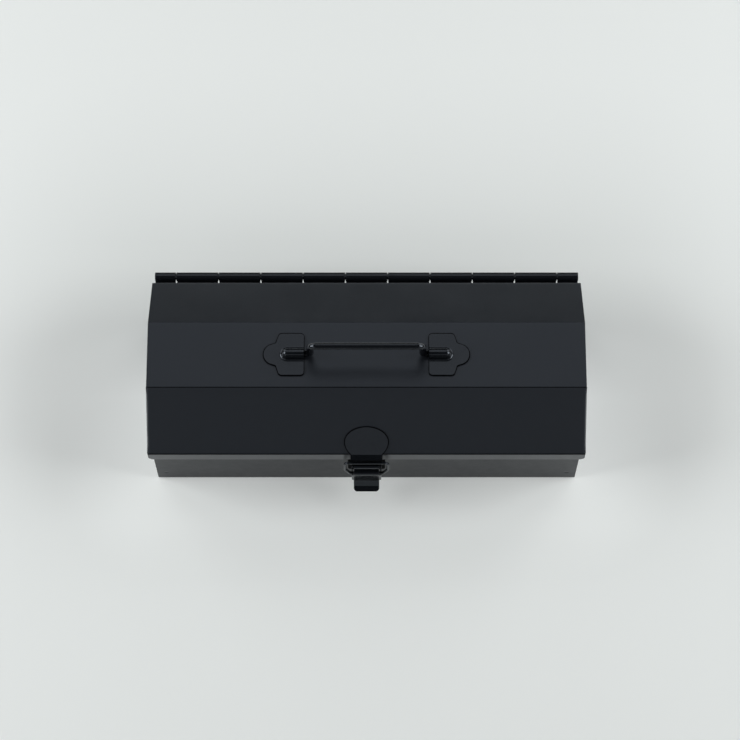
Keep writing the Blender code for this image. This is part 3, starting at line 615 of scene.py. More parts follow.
def base_end(side):
    """One end of the base: a panel with a hemmed rim and flanges that sit inside the wrap."""
    plate = BASE_END - SHEET / 2
    flange = BASE_HALF - 1.5 * SHEET - GAP
    floor = 1.5 * SHEET + GAP
    rim = RIM - SHEET / 2
    clear = BASE_HALF - SHEET - 2 * HEM_RADIUS - GAP - SHEET / 2
    flange_top = rim - HEM_DROP - GAP - SHEET / 2
    bend = 1.2 * MM
    corners = [(-flange, flange_top, 0), (-flange, floor, BEND_RADIUS), (flange, floor, BEND_RADIUS), (flange, flange_top, 0)]
    outline = rounded(corners)
    columns = [(0, plate - FLANGE), (0, plate - FLANGE / 2)]
    for angle in range(0, 91, 15):
        turn = math.radians(angle)
        columns.append((bend * (1 - math.cos(turn)), plate - bend + bend * math.sin(turn)))
    lines = [offset(outline, drop) for drop, x in columns]
    rows = []
    for i in range(len(outline)):
        rows.append([(side * x, *line[i]) for (drop, x), line in zip(columns, lines)])
    bm = bmesh.new()
    verts = add_grid(bm, rows)

    hem = rounded([
        (plate, rim - 3 * MM, 0),
        (plate, rim, HEM_RADIUS),
        (plate - 2 * HEM_RADIUS, rim, HEM_RADIUS),
        (plate - 2 * HEM_RADIUS, rim - HEM_DROP, 0),
    ])
    hem_verts = add_grid(bm, [[(side * x, -clear, z) for x, z in hem], [(side * x, clear, z) for x, z in hem]])
    bm.faces.new([row[-1] for row in verts] + [hem_verts[1][0], hem_verts[0][0]])
    return sheet_object(("base_end_left_skin", "base_end_right_skin")[side > 0], bm)


# ---------------------------------------------------------------- hinge


def hinge_leaf(name, flange, own_parity):
    """A leaf whose own fingers are rolled round the pin, with relief notches at their roots."""
    steps = 36
    path = flange + arc((HINGE.y, HINGE.z), BARREL_RADIUS - SHEET / 2, -90, 215, steps)[1:]
    roll_start = len(flange) - 1
    first = -KNUCKLE_PITCH * FULL_KNUCKLES / 2
    joints = [first + KNUCKLE_PITCH * i for i in range(FULL_KNUCKLES + 1)]
    close = (KNUCKLE_GAP / 2, RELIEF_HALF)
    xs = [-HINGE_END, HINGE_END] + [joint + side * c for joint in joints for side in (-1, 1) for c in close]
    xs.sort()

    def keep(row, column):
        x = (xs[column] + xs[column + 1]) / 2
        y = (path[row][0] + path[row + 1][0]) / 2
        nearest = min(abs(x - joint) for joint in joints)
        own = sum(x > joint for joint in joints) % 2 == own_parity
        if row >= roll_start:
            return own and nearest > KNUCKLE_GAP / 2
        if y > LEAF_STEP_Y:
            return own and nearest > RELIEF_HALF
        return y < LEAF_STEP_Y - MM or nearest > RELIEF_HALF

    bm = bmesh.new()
    add_grid(bm, [[(x, y, z) for x in xs] for y, z in path], keep)
    return sheet_object(name, bm)


def lid_hinge_leaf():
    """The leaf inside the lid's rear lip; it turns out under the lip to the barrel."""
    flange = LID_HALF - 1.5 * SHEET - GAP
    corners = [(flange, CREASE_Z - 2 * MM, 0), (flange, LEAF_UNDER, SHEET), (HINGE.y, LEAF_UNDER, 0)]
    path = rounded(corners)
    path[-1:] = [(LEAF_STEP_Y - MM, LEAF_UNDER), (LEAF_STEP_Y, LEAF_UNDER), (HINGE.y - 3 * MM, LEAF_UNDER), path[-1]]
    return hinge_leaf("lid_hinge_leaf_skin", path, 1)


def base_hinge_leaf():
    """The leaf on the outside of the base's rear wall; it turns out below the other leaf."""
    flange = BASE_HALF + GAP + SHEET / 2
    lower = LEAF_UNDER - SHEET - GAP
    corners = [
        (flange, LEAF_BOTTOM, 0),
        (flange, lower, BEND_RADIUS),
        (LEAF_STEP_Y + 0.3 * MM, lower, 0),
        (LEAF_STEP_Y + 3.7 * MM, LEAF_UNDER, 0),
        (HINGE.y, LEAF_UNDER, 0),
    ]
    path = rounded(corners)
    path[-3:-2] = [(LEAF_STEP_Y - MM, lower), (LEAF_STEP_Y, lower), (LEAF_STEP_Y + 0.5 * MM, lower)]
    return hinge_leaf("base_hinge_leaf_skin", path, 0)


def hinge_pin():
    """A straight pin, slightly domed at both ends."""
    dome = 0.5 * MM
    rim = [(HINGE_END - dome + dome * math.sin(a), HINGE_PIN_RADIUS - dome * (1 - math.cos(a)))
           for a in (math.radians(15 * i) for i in range(7))]
    end = rim + [(HINGE_END, 0)]
    profile = [(-along, radius) for along, radius in end[::-1]] + end
    return turned("hinge_pin_skin", profile, (0, HINGE.y, HINGE.z), (1, 0, 0))


# ---------------------------------------------------------------- handle


def ear_outline():
    """Upper half of the right ear's outline, from the tip of its lobe to its straight inner edge."""
    tip = arc((EAR_LOBE_X, 0), EAR_LOBE_RADIUS, 0, EAR_LOBE_DEG, 18)
    end = Vector(tip[-1])
    angle = math.radians(EAR_LOBE_DEG)
    notch = end + Vector((-math.sin(angle), math.cos(angle))) * EAR_NOTCH_RUN
    corners = [
        (end.x, end.y, 0),
        (notch.x, notch.y, EAR_NOTCH_RADIUS),
        (EAR_SHOULDER_X, EAR_HIGH.y, EAR_CORNER_RADIUS),
        (EAR_LOW.x, EAR_HIGH.y, EAR_CORNER_RADIUS),
        (EAR_LOW.x, 0, 0),
    ]
    return divided(tip[:-1] + rounded(corners)[:-1], 1.2 * MM)


def ear_profile():
    """Distance from the ridge and height of the pressed barrel, down to where it meets the plate."""
    radius = EAR_BARREL_RADIUS - SHEET / 2
    fillet = HANDLE_Z - EAR_PLATE_Z
    dome = arc((0, HANDLE_Z), radius, 90, 0, 12)
    foot = arc((radius + fillet, HANDLE_Z), fillet, 180, 270, 8)
    return dome + foot[1:]


def handle_ear(side):
    """A plate with a pressed bullet-shaped half-barrel that holds one foot of the handle."""
    profile = ear_profile()
    foot = profile[-1][0]
    rows = []
    for x, y in ear_outline():
        root = Vector((min(x, EAR_BARREL_END_X), 0))
        way = Vector((x, y)) - root
        reach = way.length
        way.normalize()
        row = []
        for away, z in profile:
            spot = root + way * away
            row.append((side * spot.x, spot.y, z))
        flat = max(reach - SHADE_LINE - foot, 0)
        for away in (foot + flat / 3, foot + flat * 2 / 3, foot + flat, reach):
            spot = root + way * away
            row.append((side * spot.x, spot.y, EAR_PLATE_Z))
        rows.append(row)
    bm = bmesh.new()
    # Painted shade: the outermost ring and the plate's rim and rounded edges take the black second material.
    outermost = len(rows[0]) - 2
    for half in (rows, [[(x, -y, z) for x, y, z in row] for row in rows]):
        add_grid(bm, half, dark=lambda row, column: column == outermost)
    return sheet_object(("handle_ear_left_skin", "handle_ear_right_skin")[side > 0], bm, painted_shade_edges=True)


def handle():
    """A bent round rod: a bar, two legs and two feet that turn out into the ears."""
    half = HANDLE_HALF_WIDTH
    corners = [
        (-FOOT_END, 0, 0),
        (-half, 0, 5 * MM),
        (-half, HANDLE_REACH, 6 * MM),
        (half, HANDLE_REACH, 6 * MM),
        (half, 0, 5 * MM),
        (FOOT_END, 0, 0),
    ]
    lean = Vector((0, -math.sin(HANDLE_LEAN), math.cos(HANDLE_LEAN)))
    path = divided(rounded(corners, steps=12), 8 * MM)
    points = [Vector((x, 0, HANDLE_Z)) + lean * reach for x, reach in path]
    return tube("handle_skin", points, ROD_RADIUS, Vector((1, 0, 0)).cross(lean))


# ---------------------------------------------------------------- latch


def latch_mount_plate():
    """A plate on the base's front wall, whose upper sides fold forward as ears for the fulcrum pin."""
    y = MOUNT_HIGH.y - SHEET / 2
    bend = 0.5 * MM
    fold = MOUNT_EAR_X - bend
    ear_low = FULCRUM.z - 5.5 * MM
    ear_start = ear_low + MOUNT_SLIT
    below = FULCRUM.z - MOUNT_EAR
    corner = 2 * MM
    flat = [(fold * share / 4, y) for share in range(-4, 5)]
    fine = [ear_low, ear_start] + [FULCRUM.z + MOUNT_EAR * s / 5 for s in range(-5, 6)]
    fine += [MOUNT_LOW.z + corner * (1 - math.cos(math.radians(15 * i))) for i in range(1, 7)]
    zs = stations(MOUNT_LOW.z, MOUNT_HIGH.z, 3 * MM, fine)
    rows = []
    for z in zs:
        if z < ear_low + MOUNT_SLIT / 2:
            cut = max(corner - (z - MOUNT_LOW.z), 0)
            reach = MOUNT_HIGH.x - corner + math.sqrt(corner ** 2 - cut ** 2) - fold
            side = [(fold + reach * i / 7, y) for i in range(1, 8)]
        else:
            if z > below:
                front = FULCRUM.y - math.sqrt(MOUNT_EAR ** 2 - min(abs(z - FULCRUM.z), MOUNT_EAR) ** 2)
            else:
                front = y - bend + (FULCRUM.y - y + bend) * (z - ear_low) / (below - ear_low)
            side = [(fold + bend * math.sin(a), y - bend * (1 - math.cos(a)))
                    for a in (math.radians(22.5 * i) for i in range(1, 5))]
            side += [(MOUNT_EAR_X, y - bend + (min(front, y - bend) - y + bend) * i / 3) for i in range(1, 4)]
        line = [(-x, v) for x, v in side[::-1]] + flat + side
        rows.append([(x, v, z) for x, v in line])

    def keep(row, column):
        at_side = column < 7 or column >= 7 + 8
        z = (zs[row] + zs[row + 1]) / 2
        return not at_side or z < ear_low or ear_start < z < FULCRUM.z + MOUNT_EAR

    bm = bmesh.new()
    add_grid(bm, rows, keep)
    return sheet_object("latch_mount_plate_skin", bm, 0.9 * MM)


def mount_rivet(node):
    """A domed rivet through the mount plate and the wall, with a flat set head inside."""
    low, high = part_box(node)
    centre = (low + high) / 2
    head = (high.x - low.x) / 2
    rise = 0.9 * MM
    dome = [(-rise * math.cos(a), head * math.sin(a)) for a in (math.radians(15 * i) for i in range(7))]
    outside = low.y + rise
    inside = high.y - rise
    shank = 1.5 * MM
    profile = [(outside + along, radius) for along, radius in dome]
    profile += [(outside, shank), (inside, shank), (inside, head * 0.95), (inside + 0.3 * MM, head)]
    profile += [(inside + 0.7 * MM, head * 0.9), (high.y, head * 0.6), (high.y, 0)]
    return turned(node + "_skin", profile, (centre.x, 0, centre.z), (0, 1, 0), 28)


def lever_fulcrum_pin():
    """The pin through the mount's ears, with a domed head at each end."""
    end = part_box("lever_fulcrum_pin")[1].x
    shank = 0.8 * MM
    head = 1.4 * MM
    rise = 0.6 * MM
    dome = [(end - rise * (1 - math.sin(a)), head * math.cos(a)) for a in (math.radians(15 * i) for i in range(7))]
    half = [(end - rise, shank)] + dome
    profile = [(-along, radius) for along, radius in half[::-1]] + half
    return turned("lever_fulcrum_pin_skin", profile, FULCRUM, (1, 0, 0), 28)


def lever_path():
    """The lever's middle line (y, z) and half widths, from the curl on the pin down to the finger tab."""
    curl = arc((FULCRUM.y, FULCRUM.z), CURL_RADIUS, 275, 0, 24)
    neck = FULCRUM.y + CURL_RADIUS
    tab_y = LEVER_LOW.y + 0.2 * MM
    tab_z = LEVER_LOW.z + 0.4 * MM
    corners = [
        (neck, FULCRUM.z, 0),
        (neck, SHELF_Z, 1.4 * MM),
        (FACE_Y, SHELF_Z, 1.6 * MM),
        (FACE_Y, FACE_BOTTOM - 2.6 * MM, 1.4 * MM),
        (tab_y + 4.4 * MM, tab_z + 1.8 * MM, 0.8 * MM),
        (tab_y, tab_z, 0),
    ]
    slit = [SLIT_Z - SLIT_HEIGHT / 2, SLIT_Z + SLIT_HEIGHT / 2]
    levels = [FACE_TOP, FACE_TOP - 0.4 * MM, 46 * MM, 45.2 * MM, *slit[::-1], 42 * MM, 40 * MM, 38 * MM, 36.6 * MM]
    levels += [FACE_BOTTOM, FACE_BOTTOM - 0.5 * MM]
    path = rounded(corners, steps=6)
    refined = curl[:-1]
    for start, end in zip(path, path[1:]):
        refined.append(start)
        if abs(start[0] - FACE_Y) < 0.01 * MM and abs(end[0] - FACE_Y) < 0.01 * MM:
            refined += [(FACE_Y, z) for z in levels if end[1] + 0.05 * MM < z < start[1] - 0.05 * MM]
    tip = Vector(path[-1])
    way = (tip - Vector(path[-2])).normalized()
    rounding = 8
    for i in range(rounding + 1):
        angle = math.radians(90 * i / rounding)
        refined.append(tuple(tip - way * TAB_CORNER * (1 - math.sin(angle))))
    rows = []
    for y, z in refined:
        on_face = abs(y - FACE_Y) < 0.01 * MM and FACE_BOTTOM - 0.01 * MM < z < FACE_TOP + 0.01 * MM
        if on_face:
            half = FACE_HALF
        elif z > FACE_TOP:
            half = SHELF_HALF
        else:
            past = TAB_CORNER - (tip - Vector((y, z))).length
            half = TAB_HALF - TAB_CORNER + math.sqrt(TAB_CORNER ** 2 - min(max(past, 0), TAB_CORNER * 0.98) ** 2)
        rows.append((y, z, half, on_face))
    return rows


def latch_lever():
    """A pressed lever: a curl on the fulcrum pin, a shelf, a slotted front face, cheeks and a finger tab."""
    path = lever_path()
    cheek_depth = [(FACE_BOTTOM, 0.6 * MM), (FACE_BOTTOM + 2.4 * MM, 3.3 * MM), (FACE_TOP - 3.8 * MM, 5.7 * MM),
                   (FACE_TOP - 1 * MM, 5.2 * MM), (FACE_TOP, 4.2 * MM)]
    shares = [i / 8 for i in range(-8, 9)]
    slit_shares = [share * SLIT_HALF / FACE_HALF for share in (-1, -0.75, -0.5, -0.25, 0, 0.25, 0.5, 0.75, 1)]
    shares = sorted(set([share for share in shares if abs(share) > 0.51] + slit_shares))
    rows = []
    for y, z, half, on_face in path:
        flat = []
        for share in shares:
            x = half * share
            near_slit = eased(1 - abs(z - SLIT_Z) / (3 * MM)) if on_face else 0
            arch = SLIT_ARCH * max(1 - (x / SLIT_HALF) ** 2, 0) * near_slit
            flat.append((x, y, z + arch))
        edge = []
        depth = between(z, cheek_depth)
        for i in range(1, 5):
            angle = math.radians(22.5 * i)
            edge.append((half + CHEEK_BEND * math.sin(angle), y + CHEEK_BEND * (1 - math.cos(angle)), z))
        for i in range(1, 4):
            edge.append((half + CHEEK_BEND, y + CHEEK_BEND + depth * i / 3, z))
        rows.append([(-x, v, w) for x, v, w in edge[::-1]] + flat + edge)
    extra = 7
    last = extra + len(shares) - 1

    def keep(row, column):
        both_on_face = path[row][3] and path[row + 1][3]
        if column < extra or column >= last:
            return both_on_face
        x = (rows[row][column][0] + rows[row][column + 1][0]) / 2
        z = (path[row][1] + path[row + 1][1]) / 2
        return not (both_on_face and abs(x) < SLIT_HALF and abs(z - SLIT_Z) < SLIT_HEIGHT / 2)

    bm = bmesh.new()
    add_grid(bm, rows, keep)
    return sheet_object("latch_lever_skin", bm, LATCH_SHEET)


def latch_bail():
    """The wire loop that the lever pulls down; its two ends turn in through the lever's cheeks."""
    start = Vector((BAIL_AT.y, BAIL_AT.z))
    end = Vector((BAIL_HIGH.y - BAIL_WIRE, BAIL_HIGH.z - BAIL_WIRE))
    length = (end - start).length
    along = (end - start).normalized()
    corners = [
        (-10.2 * MM, 0, 0),
        (-13.9 * MM, 0, 1.6 * MM),
        (-BAIL_HALF, 7 * MM, 3 * MM),
        (-BAIL_HALF, length, 3.5 * MM),
        (BAIL_HALF, length, 3.5 * MM),
        (BAIL_HALF, 7 * MM, 3 * MM),
        (13.9 * MM, 0, 1.6 * MM),
        (10.2 * MM, 0, 0),
    ]
    points = []
    for x, reach in rounded(corners, steps=10):
        place = start + along * reach
        points.append((x, place.x, place.y))
    return tube("latch_bail_skin", points, BAIL_WIRE, (0, -along.y, along.x), 20)


# ---------------------------------------------------------------- materials


def node_tree(name):
    material = bpy.data.materials.new(name)
    material.use_nodes = True
    return material, material.node_tree.nodes, material.node_tree.links


def noise_node(nodes, links, coordinates, wavelength, detail=2.0, seed=0.0):
    """A noise texture whose features are about one wavelength across."""
    texture = nodes.new("ShaderNodeTexNoise")
    texture.noise_dimensions = "4D"
    texture.inputs["W"].default_value = seed
    texture.inputs["Scale"].default_value = 1 / wavelength
    texture.inputs["Detail"].default_value = detail
    links.new(coordinates, texture.inputs["Vector"])
    return texture.outputs["Fac"]


def mapped(nodes, links, value, from_low, from_high, to_low, to_high):
    """A value scaled from one range to another."""
    node = nodes.new("ShaderNodeMapRange")
    node.inputs["From Min"].default_value = from_low
    node.inputs["From Max"].default_value = from_high
    node.inputs["To Min"].default_value = to_low
    node.inputs["To Max"].default_value = to_high
    links.new(value, node.inputs["Value"])
    return node.outputs["Result"]


def math_node(nodes, links, operation, *values):
    node = nodes.new("ShaderNodeMath")
    node.operation = operation
    for socket, value in zip(node.inputs, values):
        if isinstance(value, (int, float)):
            socket.default_value = value
        else:
            links.new(value, socket)
    return node.outputs["Value"]


def bumped(nodes, links, layers):
    """A normal bumped by several (height, size) layers, one after the other."""
    normal = None
    for height, size in layers:
        bump = nodes.new("ShaderNodeBump")
        bump.inputs["Strength"].default_value = 1.0
        bump.inputs["Distance"].default_value = size
        links.new(height, bump.inputs["Height"])
        if normal is not None:
            links.new(normal, bump.inputs["Normal"])
        normal = bump.outputs["Normal"]
    return normal


def black_paint(name, colour, worn_colour, roughness, peel, rub, edge_shade, seed, shine=0.47):
    """Satin black paint: orange peel, fine grain, uneven gloss, faint dust, rubbed edges, and painted shade where
    the shine falls along edges by a share.
    """
    material, nodes, links = node_tree(name)
    shader = nodes["Principled BSDF"]
    place = nodes.new("ShaderNodeTexCoord").outputs["Object"]
    cloudy = noise_node(nodes, links, place, 45 * MM, 3, seed)
    mottled = noise_node(nodes, links, place, 6 * MM, 3, seed + 1)
    orange_peel = noise_node(nodes, links, place, 1.6 * MM, 1, seed + 2)
    grain = noise_node(nodes, links, place, 0.35 * MM, 2, seed + 3)
    dust = noise_node(nodes, links, place, 0.9 * MM, 1, seed + 4)

    # Rubbed edges, and painted shade along edges: where the surface turns within half a millimetre.
    softened = nodes.new("ShaderNodeBevel")
    softened.samples = 4
    softened.inputs["Radius"].default_value = 0.5 * MM
    geometry = nodes.new("ShaderNodeNewGeometry")
    turn = nodes.new("ShaderNodeVectorMath")
    turn.operation = "DOT_PRODUCT"
    links.new(softened.outputs["Normal"], turn.inputs[0])
    links.new(geometry.outputs["True Normal"], turn.inputs[1])
    edge = mapped(nodes, links, turn.outputs["Value"], 0.97, 0.80, 0.0, 1.0)
    patchy = mapped(nodes, links, mottled, 0.42, 0.62, 0.1, 0.7)
    rubbed = math_node(nodes, links, "MULTIPLY", math_node(nodes, links, "MULTIPLY", edge, patchy), rub)
    # Painted shade: the shine falls along these edges by the given share.
    shaded_edge_shine = mapped(nodes, links, edge, 0.0, 1.0, shine, shine * (1 - edge_shade))
    links.new(shaded_edge_shine, shader.inputs["Specular IOR Level"])

    tone = nodes.new("ShaderNodeMix")
    tone.data_type = "RGBA"
    tone.inputs["A"].default_value = (*[c * 0.85 for c in colour], 1)
    tone.inputs["B"].default_value = (*[c * 1.2 for c in colour], 1)
    links.new(cloudy, tone.inputs["Factor"])
    speck = nodes.new("ShaderNodeMix")
    speck.data_type = "RGBA"
    speck.inputs["B"].default_value = (*[c * 3 for c in colour], 1)
    links.new(mapped(nodes, links, dust, 0.74, 0.82, 0.0, 0.6), speck.inputs["Factor"])
    links.new(tone.outputs["Result"], speck.inputs["A"])
    worn = nodes.new("ShaderNodeMix")
    worn.data_type = "RGBA"
    worn.inputs["B"].default_value = (*worn_colour, 1)
    links.new(rubbed, worn.inputs["Factor"])
    links.new(speck.outputs["Result"], worn.inputs["A"])
    links.new(worn.outputs["Result"], shader.inputs["Base Color"])

    gloss = math_node(nodes, links, "ADD", mapped(nodes, links, cloudy, 0.3, 0.7, -0.02, 0.02),
                      mapped(nodes, links, mottled, 0.3, 0.7, roughness - 0.02, roughness + 0.02))
    links.new(math_node(nodes, links, "SUBTRACT", gloss, math_node(nodes, links, "MULTIPLY", rubbed, 0.08)),
              shader.inputs["Roughness"])
    shader.inputs["IOR"].default_value = 1.5
    shader.inputs["Specular Tint"].default_value = (*COOL_SHEEN, 1)
    links.new(bumped(nodes, links, [(orange_peel, peel), (grain, peel * 0.12)]), shader.inputs["Normal"])
    return material


def painted_shade_black():
    """Painted shade: a matte black for the shade lines round plates, the front slope's creases, the catch plate's
    neck and the latch's bracket, with a little dust.
    """
    material, nodes, links = node_tree("painted_shade_black")
    shader = nodes["Principled BSDF"]
    place = nodes.new("ShaderNodeTexCoord").outputs["Object"]
    mottled = noise_node(nodes, links, place, 3 * MM, 3, 51.0)
    grain = noise_node(nodes, links, place, 0.4 * MM, 2, 52.0)
    tone = nodes.new("ShaderNodeMix")
    tone.data_type = "RGBA"
    tone.inputs["A"].default_value = (0.0009, 0.0010, 0.0012, 1)
    tone.inputs["B"].default_value = (0.0024, 0.0026, 0.0030, 1)
    links.new(mottled, tone.inputs["Factor"])
    links.new(tone.outputs["Result"], shader.inputs["Base Color"])
    links.new(mapped(nodes, links, mottled, 0.3, 0.7, 0.55, 0.7), shader.inputs["Roughness"])
    shader.inputs["Specular IOR Level"].default_value = 0.01
    links.new(bumped(nodes, links, [(grain, 0.01 * MM)]), shader.inputs["Normal"])
    return material


def materials():
    """One finish for each of the record's material slots, a less shiny copy of the shell paint for the walls, and a
    black for painted shade.
    """
    shell, fitting = (0.0085, 0.0100, 0.0128), (0.0050, 0.0060, 0.0078)
    wire, steel = (0.0030, 0.0036, 0.0048), (0.0060, 0.0068, 0.0082)
    worn, bare = (0.030, 0.031, 0.034), (0.060, 0.061, 0.064)
    return {
        "shell_paint": black_paint("shell_paint", shell, worn, 0.31, 0.020 * MM, 0.4, 0.0, 0.0),
        "fitting_paint": black_paint("fitting_paint", fitting, worn, 0.19, 0.012 * MM, 0.1, 0.85, 11.0),
        "wire_paint": black_paint("wire_paint", wire, worn, 0.13, 0.006 * MM, 0.0, 0.0, 23.0),
        "pin_steel": black_paint("pin_steel", steel, bare, 0.24, 0.005 * MM, 1.0, 0.0, 37.0),
        # Painted shade: the walls' copy of the shell paint, less shiny so that they read darker.
        "shaded_wall_paint": black_paint("shaded_wall_paint", shell, worn, 0.36, 0.020 * MM, 0.4, 0.0, 0.0, shine=0.2),
        "painted_shade_black": painted_shade_black(),
    }


# ---------------------------------------------------------------- studio


def nearness(nodes, links, place, reach):
    """1 on the floor at the box's outline, falling softly to 0 at a reach from it; the mask of the floor's painted
    shadow and painted light.
    """
    spot = nodes.new("ShaderNodeVectorMath")
    spot.operation = "ABSOLUTE"
    links.new(place, spot.inputs[0])
    beyond = nodes.new("ShaderNodeVectorMath")
    beyond.operation = "SUBTRACT"
    links.new(spot.outputs["Vector"], beyond.inputs[0])
    beyond.inputs[1].default_value = (BASE_END, BASE_HALF, 1)
    outside = nodes.new("ShaderNodeVectorMath")
    outside.operation = "MAXIMUM"
    links.new(beyond.outputs["Vector"], outside.inputs[0])
    away = nodes.new("ShaderNodeVectorMath")
    away.operation = "LENGTH"
    links.new(outside.outputs["Vector"], away.inputs[0])
    near = mapped(nodes, links, away.outputs["Value"], 0, reach, 1, 0)
    return math_node(nodes, links, "POWER", near, 1.5)


def studio_floor():
    """A large pale floor, with a faint unevenness of tone, a painted shadow darkening it behind the box, and a
    painted glow lifting the shadow in front of it.
    """
    bm = bmesh.new()
    bmesh.ops.create_grid(bm, x_segments=24, y_segments=24, size=FLOOR_REACH)
    floor = mesh_object("studio_floor", bm)
    floor.location.z = -0.2 * MM
    material, nodes, links = node_tree("studio_floor")
    shader = nodes["Principled BSDF"]
    place = nodes.new("ShaderNodeTexCoord").outputs["Object"]
    cloudy = noise_node(nodes, links, place, 0.5, 2, 3.0)
    tone = nodes.new("ShaderNodeMix")
    tone.data_type = "RGBA"
    tone.inputs["A"].default_value = (0.77, 0.80, 0.79, 1)
    tone.inputs["B"].default_value = (0.80, 0.83, 0.82, 1)
    links.new(cloudy, tone.inputs["Factor"])

    # Painted shadow: the floor is a little darker near the box behind it. Painted light: it glows a little in the
    # shadow in front of it.
    depth = nodes.new("ShaderNodeSeparateXYZ")
    links.new(place, depth.inputs[0])
    behind = mapped(nodes, links, depth.outputs["Y"], 0, 2 * BASE_HALF, 0, 1)
    in_front = mapped(nodes, links, depth.outputs["Y"], 0, BASE_HALF, 1, 0)
    shade = nodes.new("ShaderNodeMix")
    shade.data_type = "RGBA"
    shade.inputs["B"].default_value = (0.62, 0.65, 0.64, 1)
    shaded = math_node(nodes, links, "MULTIPLY", nearness(nodes, links, place, SHADE_REACH), behind)
    links.new(shaded, shade.inputs["Factor"])
    links.new(tone.outputs["Result"], shade.inputs["A"])
    links.new(shade.outputs["Result"], shader.inputs["Base Color"])
    shader.inputs["Emission Color"].default_value = (0.97, 1, 0.99, 1)
    glow = math_node(nodes, links, "MULTIPLY", nearness(nodes, links, place, GLOW_REACH), in_front)
    links.new(math_node(nodes, links, "MULTIPLY", glow, FLOOR_GLOW), shader.inputs["Emission Strength"])
    shader.inputs["Roughness"].default_value = 0.85
    shader.inputs["Specular IOR Level"].default_value = 0.2

    # The camera sees it fade into the backdrop, and reflections see only a part round the box.
    away = nodes.new("ShaderNodeVectorMath")
    away.operation = "LENGTH"
    links.new(place, away.inputs[0])
    fading = mapped(nodes, links, away.outputs["Value"], *FLOOR_FADE, 1, 0)
    middle, half_depth = (FLOOR_REAR + FLOOR_FRONT) / 2, (FLOOR_REAR - FLOOR_FRONT) / 2
    in_width = math_node(nodes, links, "COMPARE", depth.outputs["X"], 0, FLOOR_HALF_WIDTH)
    in_depth = math_node(nodes, links, "COMPARE", depth.outputs["Y"], middle, half_depth)
    shown = nodes.new("ShaderNodeMix")
    links.new(nodes.new("ShaderNodeLightPath").outputs["Is Camera Ray"], shown.inputs["Factor"])
    links.new(math_node(nodes, links, "MULTIPLY", in_width, in_depth), shown.inputs["A"])
    links.new(fading, shown.inputs["B"])
    mix = nodes.new("ShaderNodeMixShader")
    links.new(shown.outputs["Result"], mix.inputs["Fac"])
    links.new(nodes.new("ShaderNodeBsdfTransparent").outputs["BSDF"], mix.inputs[1])
    links.new(shader.outputs["BSDF"], mix.inputs[2])
    links.new(mix.outputs["Shader"], nodes["Material Output"].inputs["Surface"])
    floor.data.materials.append(material)


def softbox(name, centre, aim, width, height, radiance, colour=(1, 1, 1)):
    """A rectangular soft light of a given brightness that faces a point."""
    light = bpy.data.lights.new(name, "AREA")
    light.shape = "RECTANGLE"
    light.size = width
    light.size_y = height
    light.energy = radiance * math.pi * width * height
    light.color = colour
    obj = bpy.data.objects.new(name, light)
    obj.location = centre
    obj.rotation_euler = (Vector(aim) - Vector(centre)).to_track_quat("-Z", "Y").to_euler()
    obj.visible_camera = False
    bpy.context.scene.collection.objects.link(obj)


def studio_lights():
    aim = (0, 0, 0.05)
    softbox("rear_high_softbox", (0, 1.0, 2.3), aim, 1.6, 1.1, 0.70)
    softbox("rear_mid_softbox", (0, 1.05, 1.3), aim, 3.0, 0.4, 0.95)
    softbox("rear_left_softbox", (-1.5, 1.6, 1.0), aim, 1.2, 1.2, 1.7)
    softbox("rear_right_softbox", (1.5, 1.6, 1.0), aim, 1.2, 1.2, 2.1)
    softbox("front_softbox", (0, -1.30, 1.20), aim, 1.6, 0.5, 0.45)
    softbox("left_softbox", (-1.7, 0.0, 1.1), aim, 1.2, 1.2, 5.9)
    softbox("right_softbox", (1.7, 0.0, 1.1), aim, 1.2, 1.2, 5.7)
    softbox("front_left_softbox", (-1.4, -1.5, 1.0), aim, 1.2, 1.2, 0.8)
    softbox("front_right_softbox", (1.4, -1.5, 1.0), aim, 1.2, 1.2, 0.5)


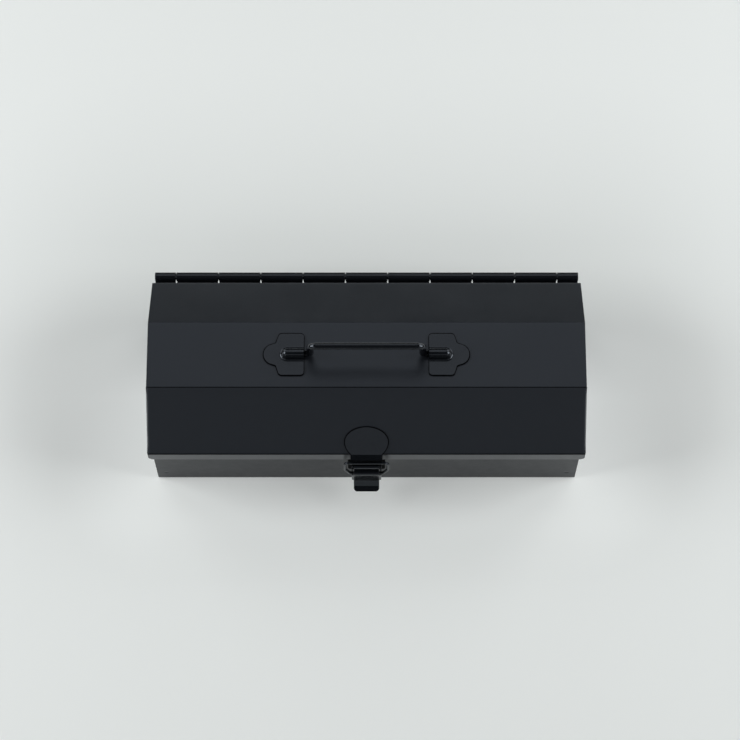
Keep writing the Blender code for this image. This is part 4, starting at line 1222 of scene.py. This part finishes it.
def studio_world():
    """A dim surround for the object, and a pale backdrop for the camera."""
    world = bpy.data.worlds.new("studio")
    bpy.context.scene.world = world
    world.use_nodes = True
    nodes, links = world.node_tree.nodes, world.node_tree.links
    surround = nodes["Background"]
    surround.inputs["Color"].default_value = (0.95, 1.0, 1.0, 1)
    surround.inputs["Strength"].default_value = 0.01
    backdrop = nodes.new("ShaderNodeBackground")
    backdrop.inputs["Color"].default_value = (0.68, 0.72, 0.71, 1)
    seen = nodes.new("ShaderNodeLightPath").outputs["Is Camera Ray"]
    mix = nodes.new("ShaderNodeMixShader")
    links.new(seen, mix.inputs["Fac"])
    links.new(surround.outputs["Background"], mix.inputs[1])
    links.new(backdrop.outputs["Background"], mix.inputs[2])
    links.new(mix.outputs["Shader"], nodes["World Output"].inputs["Surface"])


def studio_camera():
    back = Vector((0, -math.cos(VIEW_ELEVATION), math.sin(VIEW_ELEVATION)))
    data = bpy.data.cameras.new("camera")
    data.sensor_width = 36
    data.lens = VIEW_LENS
    camera = bpy.data.objects.new("camera", data)
    camera.location = VIEW_TARGET + back * VIEW_DISTANCE
    camera.rotation_euler = (-back).to_track_quat("-Z", "Y").to_euler()
    bpy.context.scene.collection.objects.link(camera)
    bpy.context.scene.camera = camera


# ---------------------------------------------------------------- assembly


def dress(piece, node, finishes):
    """Puts a piece in its CAD node's place: its body and its finish."""
    subpart = next(part for part in frame["record"]["subparts"] if part["node"] == node)
    bodies = frame["record"]["behaviour"]["bodies"]
    body = next(name for name, members in bodies.items() if node in members)
    piece.data.materials.append(finishes[OWN_FINISH.get(node, subpart["material_slot"])])
    # Every piece's second material is the painted shade black.
    piece.data.materials.append(finishes["painted_shade_black"])
    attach(piece, body)
    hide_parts(node)


def build():
    finishes = materials()
    made = {
        "lid_sheet": lid_sheet(),
        "lid_end_left": lid_end(-1),
        "lid_end_right": lid_end(1),
        "catch_plate": catch_plate(),
        "base_wrap": base_wrap(),
        "base_end_left": base_end(-1),
        "base_end_right": base_end(1),
        "lid_hinge_leaf": lid_hinge_leaf(),
        "base_hinge_leaf": base_hinge_leaf(),
        "hinge_pin": hinge_pin(),
        "handle_ear_left": handle_ear(-1),
        "handle_ear_right": handle_ear(1),
        "handle": handle(),
        "latch_mount_plate": latch_mount_plate(),
        "lever_fulcrum_pin": lever_fulcrum_pin(),
        "latch_lever": latch_lever(),
        "latch_bail": latch_bail(),
    }
    for node in sorted(frame["nodes"]):
        if node.startswith("mount_rivet"):
            made[node] = mount_rivet(node)
    for node, piece in made.items():
        dress(piece, node, finishes)
    studio_floor()
    studio_lights()
    studio_world()
    studio_camera()
    bpy.context.scene.view_settings.view_transform = "Standard"


build()
bpy.context.view_layer.update()
